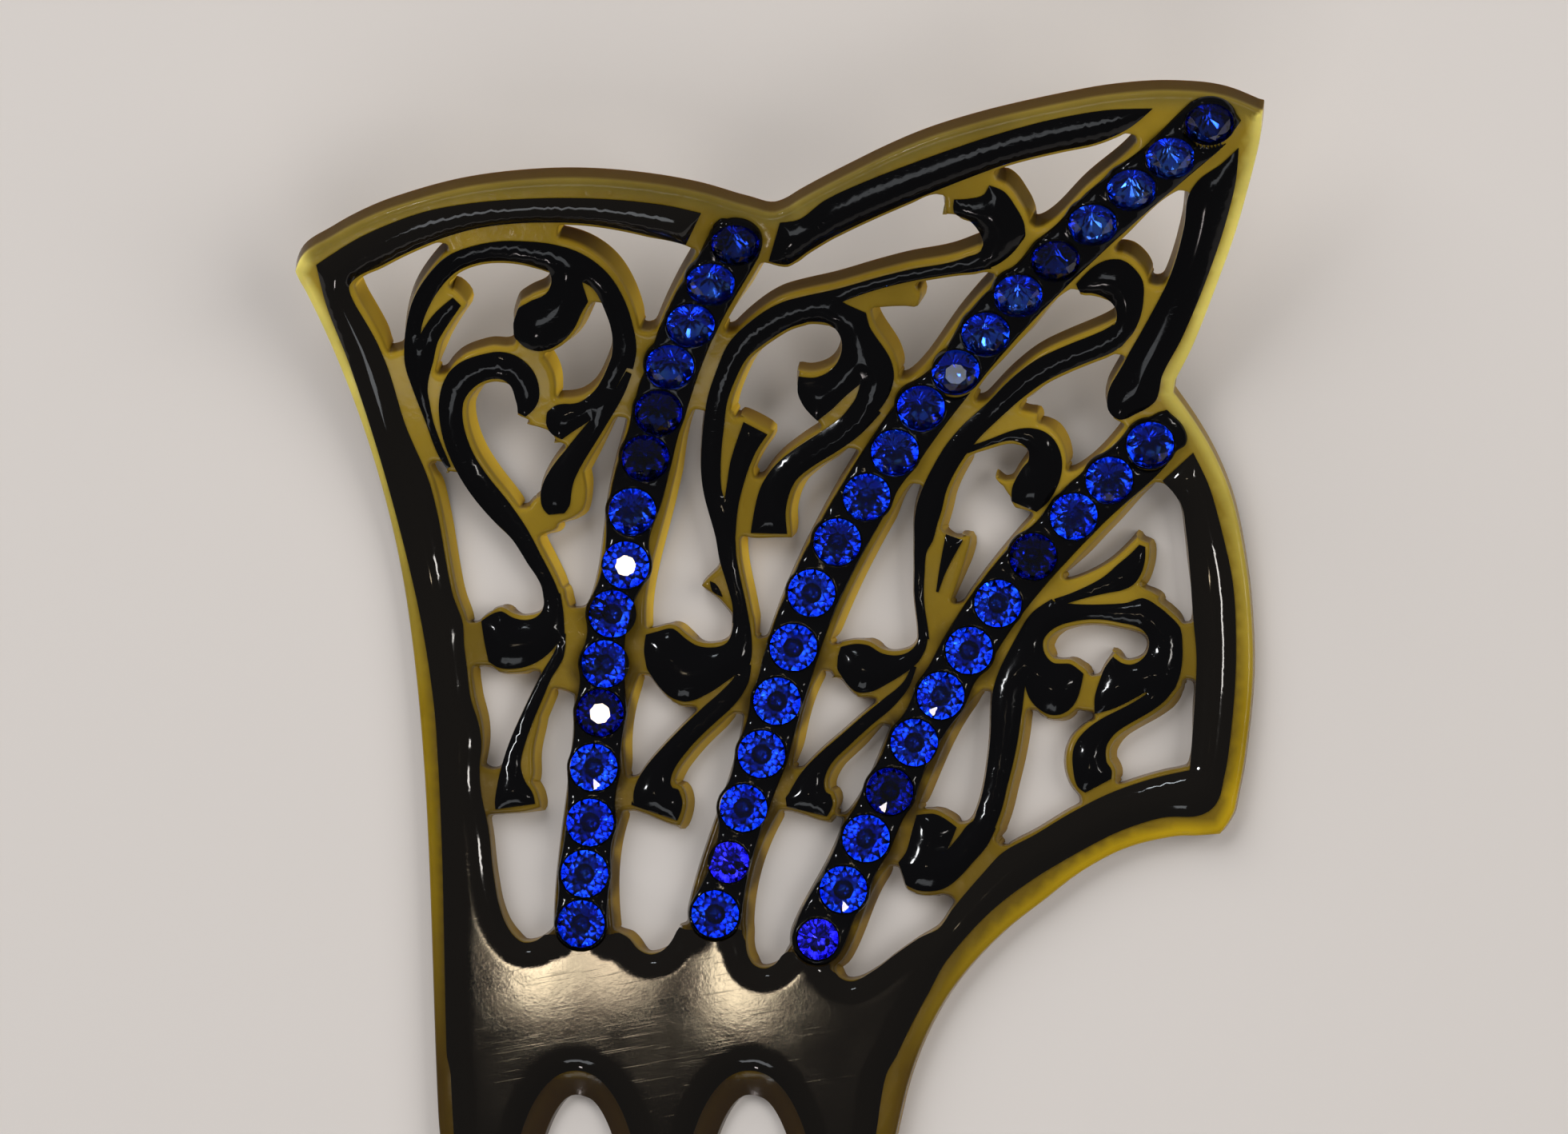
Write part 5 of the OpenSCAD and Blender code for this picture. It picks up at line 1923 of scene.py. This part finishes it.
    def _lower(self, loop: Loop, rims: list[Loop]) -> Loop:
        """The back end of a wall, moved out of the material by the draft, most where the wall faces right.

        Args:
            loop: the wall's upper end.
            rims: all the outlines.

        Returns:
            The loop at the back.
        """
        outward = -loop.inward()
        lean = ease(outward[:, 0], *self.WALL_FACING)
        if loop.area > 0.0:
            return loop.moved(np.column_stack([self.outer_lean * lean, np.zeros(len(lean))]))
        room = clear_width(loop, outward, rims, self.WIDEST)
        x, y = loop.points.T
        steep = self.steep * fade(x, *self.STEEP_X) * fade(y, *self.STEEP_Y)
        reach = np.minimum(self.draft + self.lean * lean * (1.0 - steep), self.draft_share * room)
        moved = loop
        for _ in range(self.LOWER_STEPS):
            moved = Loop(moved.points - moved.inward() * (reach / self.LOWER_STEPS)[:, None])
            near = (np.roll(moved.points, 1, axis=0) + np.roll(moved.points, -1, axis=0)) / 2.0
            moved = Loop(moved.points * (1.0 - self.LOWER_EVEN) + near * self.LOWER_EVEN)
        return moved

    def _pits(self, shell: Shell, top: int, face: PlanMesh, stones: list[Stone], first_pit: int) -> None:
        """Adds the cone under each stone, which its pavilion fills.

        Args:
            shell: what it is added to.
            top: first vertex of the face.
            face: the face's mesh.
            stones: the stones.
            first_pit: number of the first pit among the face's loops.
        """
        for offset, stone in enumerate(stones):
            start = int(top + face.starts[first_pit + offset])
            count = len(face.loops[first_pit + offset].points)
            low = CURL.place(stone.centre[None], np.array([-self.pit_depth]))
            # Painted shade: the tip of each pit under its stone is fully dark
            tip = shell.add(low, wall=1.0, rim=0.0, tone=0.0, gold=0.0, shade=1.0)
            i = np.arange(count)
            shell.fill(np.column_stack([start + (i + 1) % count, start + i, np.full(count, tip)]))


def clear_width(
    loop: Loop, heading: np.ndarray, rims: list[Loop], farthest: float, lift: float = 0.02, chunk: int = 500
) -> np.ndarray:
    """Distance from each point of a loop to the next outline, across an opening or across the amber.

    Args:
        loop: the outline.
        heading: direction in which it is measured at each point.
        rims: all the outlines.
        farthest: the most that is looked at.
        lift: how far from its point each ray starts.
        chunk: rays that are worked out at once.

    Returns:
        The distances.
    """
    a = np.vstack([r.points for r in rims])
    b = np.vstack([np.roll(r.points, -1, axis=0) for r in rims])
    width = np.full(len(loop.points), farthest)
    for start in range(0, len(width), chunk):
        part = slice(start, start + chunk)
        origin = (loop.points + heading * lift)[part, None]
        ray = heading[part, None]
        edge = (b - a)[None]
        cross = ray[..., 0] * edge[..., 1] - ray[..., 1] * edge[..., 0]
        cross = np.where(np.abs(cross) < TINY, TINY, cross)
        gap = a[None] - origin
        far = (gap[..., 0] * edge[..., 1] - gap[..., 1] * edge[..., 0]) / cross
        on = (gap[..., 0] * ray[..., 1] - gap[..., 1] * ray[..., 0]) / cross
        hit = np.where((far > 0.0) & (on >= 0.0) & (on <= 1.0), far, farthest)
        width[part] = np.minimum(width[part], hit.min(axis=1))
    return width


@dataclass
class StoneRuns:
    """The three runs of stones, each stone with a little lean and spin of its own. Places in millimetres."""

    seed: int = 7
    most_lean: float = 0.05
    glints: tuple[str, ...] = ("left_stone_08", "left_stone_11")
    violet: tuple[str, ...] = ("middle_stone_18", "right_stone_12")
    navy: tuple[str, ...] = (
        "left_stone_01", "left_stone_05", "left_stone_06", "left_stone_11",
        "middle_stone_01", "middle_stone_05", "right_stone_04", "right_stone_09",
    )
    eye: tuple[float, float, float] = (0.6, 41.2, 620.5)
    glint_lamp: tuple[float, float, float] = (-6.8, -24.6, 620.0)
    least_off: float = 0.050
    glint_table: float = 0.44
    violet_lean: tuple[float, float] = (0.07, -0.06)
    violet_table: float = 0.60
    violet_crown: float = 0.45

    MOST_SPIN = math.pi / 4.0

    def read(self, nodes: dict[str, bpy.types.Object]) -> list[Stone]:
        """Measures the stones and gives each its lean: two lean so that their tables mirror a lamp.

        Args:
            nodes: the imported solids.

        Returns:
            The stones.
        """
        chance = np.random.default_rng(self.seed)
        stones = []
        for name in sorted(n for n in nodes if "_stone_" in n):
            stone = Stone.read(name)
            stone.spin = float(chance.uniform(0.0, self.MOST_SPIN))
            stone.lean = tuple(chance.uniform(-self.most_lean, self.most_lean, 2))
            while stone.off_mirror(self.eye, self.glint_lamp) < self.least_off:
                stone.lean = tuple(chance.uniform(-self.most_lean, self.most_lean, 2))
            if name in self.glints:
                stone.mirror(self.eye, self.glint_lamp)
                stone.table = self.glint_table
            if name in self.violet:
                stone.lean = self.violet_lean
                stone.table = self.violet_table
                stone.crown = self.violet_crown
            stones.append(stone)
        return stones

    def build(self, stones: list[Stone]) -> None:
        """Builds every stone.

        Args:
            stones: the measured stones.
        """
        glass = GlassFinish().build()
        foils = {colour: colour.build() for colour in StoneColour}
        for stone in stones:
            colour = StoneColour.ROYAL
            if stone.name in self.navy:
                colour = StoneColour.NAVY
            if stone.name in self.violet:
                colour = StoneColour.VIOLET
            settle(stone.build(glass, foils[colour]), "blue_stone", stone.name)


class LampUse(Enum):
    """What a lamp is for."""

    ROOM = "lights the faces, and isn't mirrored in them"
    SPARK = "is mirrored in the faces and within the stones, and throws no shadow"
    SHEEN = "is mirrored in the faces, but not within the stones"
    GEM = "is mirrored within the stones only"


LOW_AIM = (0.0, 0.02, 0.0)
TOP_AIM = (0.0, 0.04, 0.0)
HEAD_AIM = (0.0, 0.05, 0.0)


@dataclass(frozen=True)
class Lamp:
    """A soft rectangular lamp, aimed at a place or straight down. Lengths in metres."""

    name: str
    place: tuple[float, float, float]
    aim: tuple[float, float, float] | None
    sides: tuple[float, float]
    power: float
    colour: tuple[float, float, float]
    use: LampUse = LampUse.SPARK

    def build(self) -> bpy.types.Object:
        """Hangs the lamp.

        Returns:
            The object.
        """
        data = bpy.data.lights.new(self.name, "AREA")
        data.shape = "RECTANGLE"
        data.size, data.size_y = self.sides
        data.energy = self.power
        data.color = self.colour
        lamp = bpy.data.objects.new(self.name, data)
        lamp.location = self.place
        lamp.rotation_mode = "QUATERNION"
        aim = self.aim or (*self.place[:2], 0.0)
        lamp.rotation_quaternion = (Vector(aim) - Vector(self.place)).to_track_quat("-Z", "Y")
        lamp.visible_glossy = self.use in (LampUse.SPARK, LampUse.SHEEN)
        lamp.visible_transmission = self.use in (LampUse.SPARK, LampUse.GEM)
        lamp.visible_diffuse = self.use is LampUse.ROOM
        bpy.context.scene.collection.objects.link(lamp)
        return lamp


@dataclass
class Studio:
    """Floor, lamps, sky and camera."""

    eye: tuple[float, float, float] = (0.00063, 0.04124, 0.6205)
    lens: float = 173.16
    sensor: float = 36.0
    floor_side: float = 6.0
    sky: tuple[float, float, float] = (0.118, 0.12, 0.126)
    lamps: tuple[Lamp, ...] = (
        Lamp("room_left", (-0.75, 0.99, 0.84), LOW_AIM, (1.4, 1.4), 22.5, (1.0, 0.99, 0.98), LampUse.ROOM),
        Lamp("room_right", (0.95, 0.15, 0.90), LOW_AIM, (1.0, 1.0), 8.5, (1.0, 0.97, 0.93), LampUse.ROOM),
        Lamp("room_front", (-0.10, -0.90, 0.90), LOW_AIM, (1.0, 1.0), 4.0, (1.0, 0.96, 0.92), LampUse.ROOM),
        Lamp("right_spot", (0.62, 0.02, 0.95), LOW_AIM, (0.09, 0.09), 0.7, (1.0, 0.95, 0.90)),
        Lamp("left_spot", (-0.60, 0.22, 0.95), LOW_AIM, (0.09, 0.07), 2.5, (0.96, 0.98, 1.0)),
        Lamp("top_spot", (-0.10, 0.78, 0.90), TOP_AIM, (0.12, 0.045), 0.35, (0.86, 0.94, 1.0)),
        Lamp("window", (-0.16, -0.95, 0.36), HEAD_AIM, (0.07, 0.07), 0.35, (1.0, 0.90, 0.88), LampUse.SHEEN),
        Lamp("front", (-0.08, -0.62, 0.74), HEAD_AIM, (0.36, 0.16), 0.65, (0.92, 0.96, 1.0), LampUse.SHEEN),
        Lamp("gem_left", (-0.20, 0.17, 0.70), HEAD_AIM, (0.24, 0.24), 0.60, (0.84, 0.92, 1.0), LampUse.GEM),
        Lamp("gem_right", (0.17, -0.07, 0.72), HEAD_AIM, (0.18, 0.18), 0.32, (0.90, 0.94, 1.0), LampUse.GEM),
        Lamp("gem_front", (-0.1, -0.7, 0.55), HEAD_AIM, (0.35, 0.25), 0.65, (0.84, 0.88, 1.0), LampUse.GEM),
        Lamp("overhead", (0.0, 0.046, 0.645), None, (0.12, 0.10), 0.16, (0.80, 0.86, 1.0), LampUse.GEM),
        Lamp("ceiling", (-0.012, -0.030, 0.64), None, (0.070, 0.038), 0.0004, (1.0, 0.80, 0.58)),
        Lamp("glow_left", (-0.0394, -0.0232, 0.62), None, (0.009, 0.014), 0.020, (1.0, 0.82, 0.56)),
        Lamp("glow_middle", (-0.0274, -0.0228, 0.62), None, (0.009, 0.012), 0.014, (1.0, 0.80, 0.55)),
        Lamp("glow_right", (-0.0068, -0.0246, 0.62), None, (0.009, 0.016), 0.022, (1.0, 0.82, 0.56)),
    )

    def build(self) -> None:
        """Sets up everything round the comb."""
        side = self.floor_side / 2.0
        mesh = bpy.data.meshes.new("floor")
        corners = [(-side, -side, 0.0), (side, -side, 0.0), (side, side, 0.0), (-side, side, 0.0)]
        mesh.from_pydata(corners, [], [(0, 1, 2, 3)])
        mesh.materials.append(FloorFinish().build())
        floor = bpy.data.objects.new("floor", mesh)
        bpy.context.scene.collection.objects.link(floor)
        for lamp in self.lamps:
            lamp.build()
        self._sky()
        bpy.context.scene.view_settings.view_transform = "Standard"
        data = bpy.data.cameras.new("camera")
        data.lens, data.sensor_width = self.lens, self.sensor
        camera = bpy.data.objects.new("camera", data)
        camera.location = self.eye
        bpy.context.scene.collection.objects.link(camera)
        bpy.context.scene.camera = camera

    def _sky(self) -> None:
        """Makes an even, dim sky."""
        world = bpy.data.worlds.new("sky")
        world.use_nodes = True
        sky = next(n for n in world.node_tree.nodes if n.type == "BACKGROUND")
        sky.inputs["Color"].default_value = (*self.sky, 1.0)
        bpy.context.scene.world = world


@dataclass
class Comb:
    """The whole comb: sheet, reliefs, channels and stones."""

    scrolls: tuple[str, ...] = (
        "top_strip", "tip_strip", "left_ring", "left_stem", "middle_scroll", "thorn_eye",
        "inner_scroll", "inner_blade", "right_scroll",
    )
    runs: tuple[str, ...] = ("left", "middle", "right")

    def build(self, nodes: dict[str, bpy.types.Object]) -> None:
        """Builds every piece.

        Args:
            nodes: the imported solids.
        """
        stone_runs = StoneRuns()
        stones = stone_runs.read(nodes)
        bright = POLISHED.build()
        worn = RUBBED.build()
        amber = AmberFinish().build()
        settle(AmberSheet().build(nodes, stones, amber), "amber", "amber_sheet")
        settle(Plate().build(nodes, worn), "black", "black_plate")
        for name in self.scrolls:
            settle(Relief(name).build(nodes, bright), "black", name)
        for run in self.runs:
            name = f"{run}_channel"
            seated = [stone for stone in stones if stone.name.startswith(run)]
            settle(Channel(name, stones=seated).build(nodes, bright), "black", name)
        stone_runs.build(stones)


def main() -> None:
    """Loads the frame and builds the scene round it."""
    logging.basicConfig(level=logging.INFO, format="%(name)s: %(message)s")
    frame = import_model()
    Studio().build()
    Comb().build(frame["nodes"])


if __name__ == "__main__":
    main()
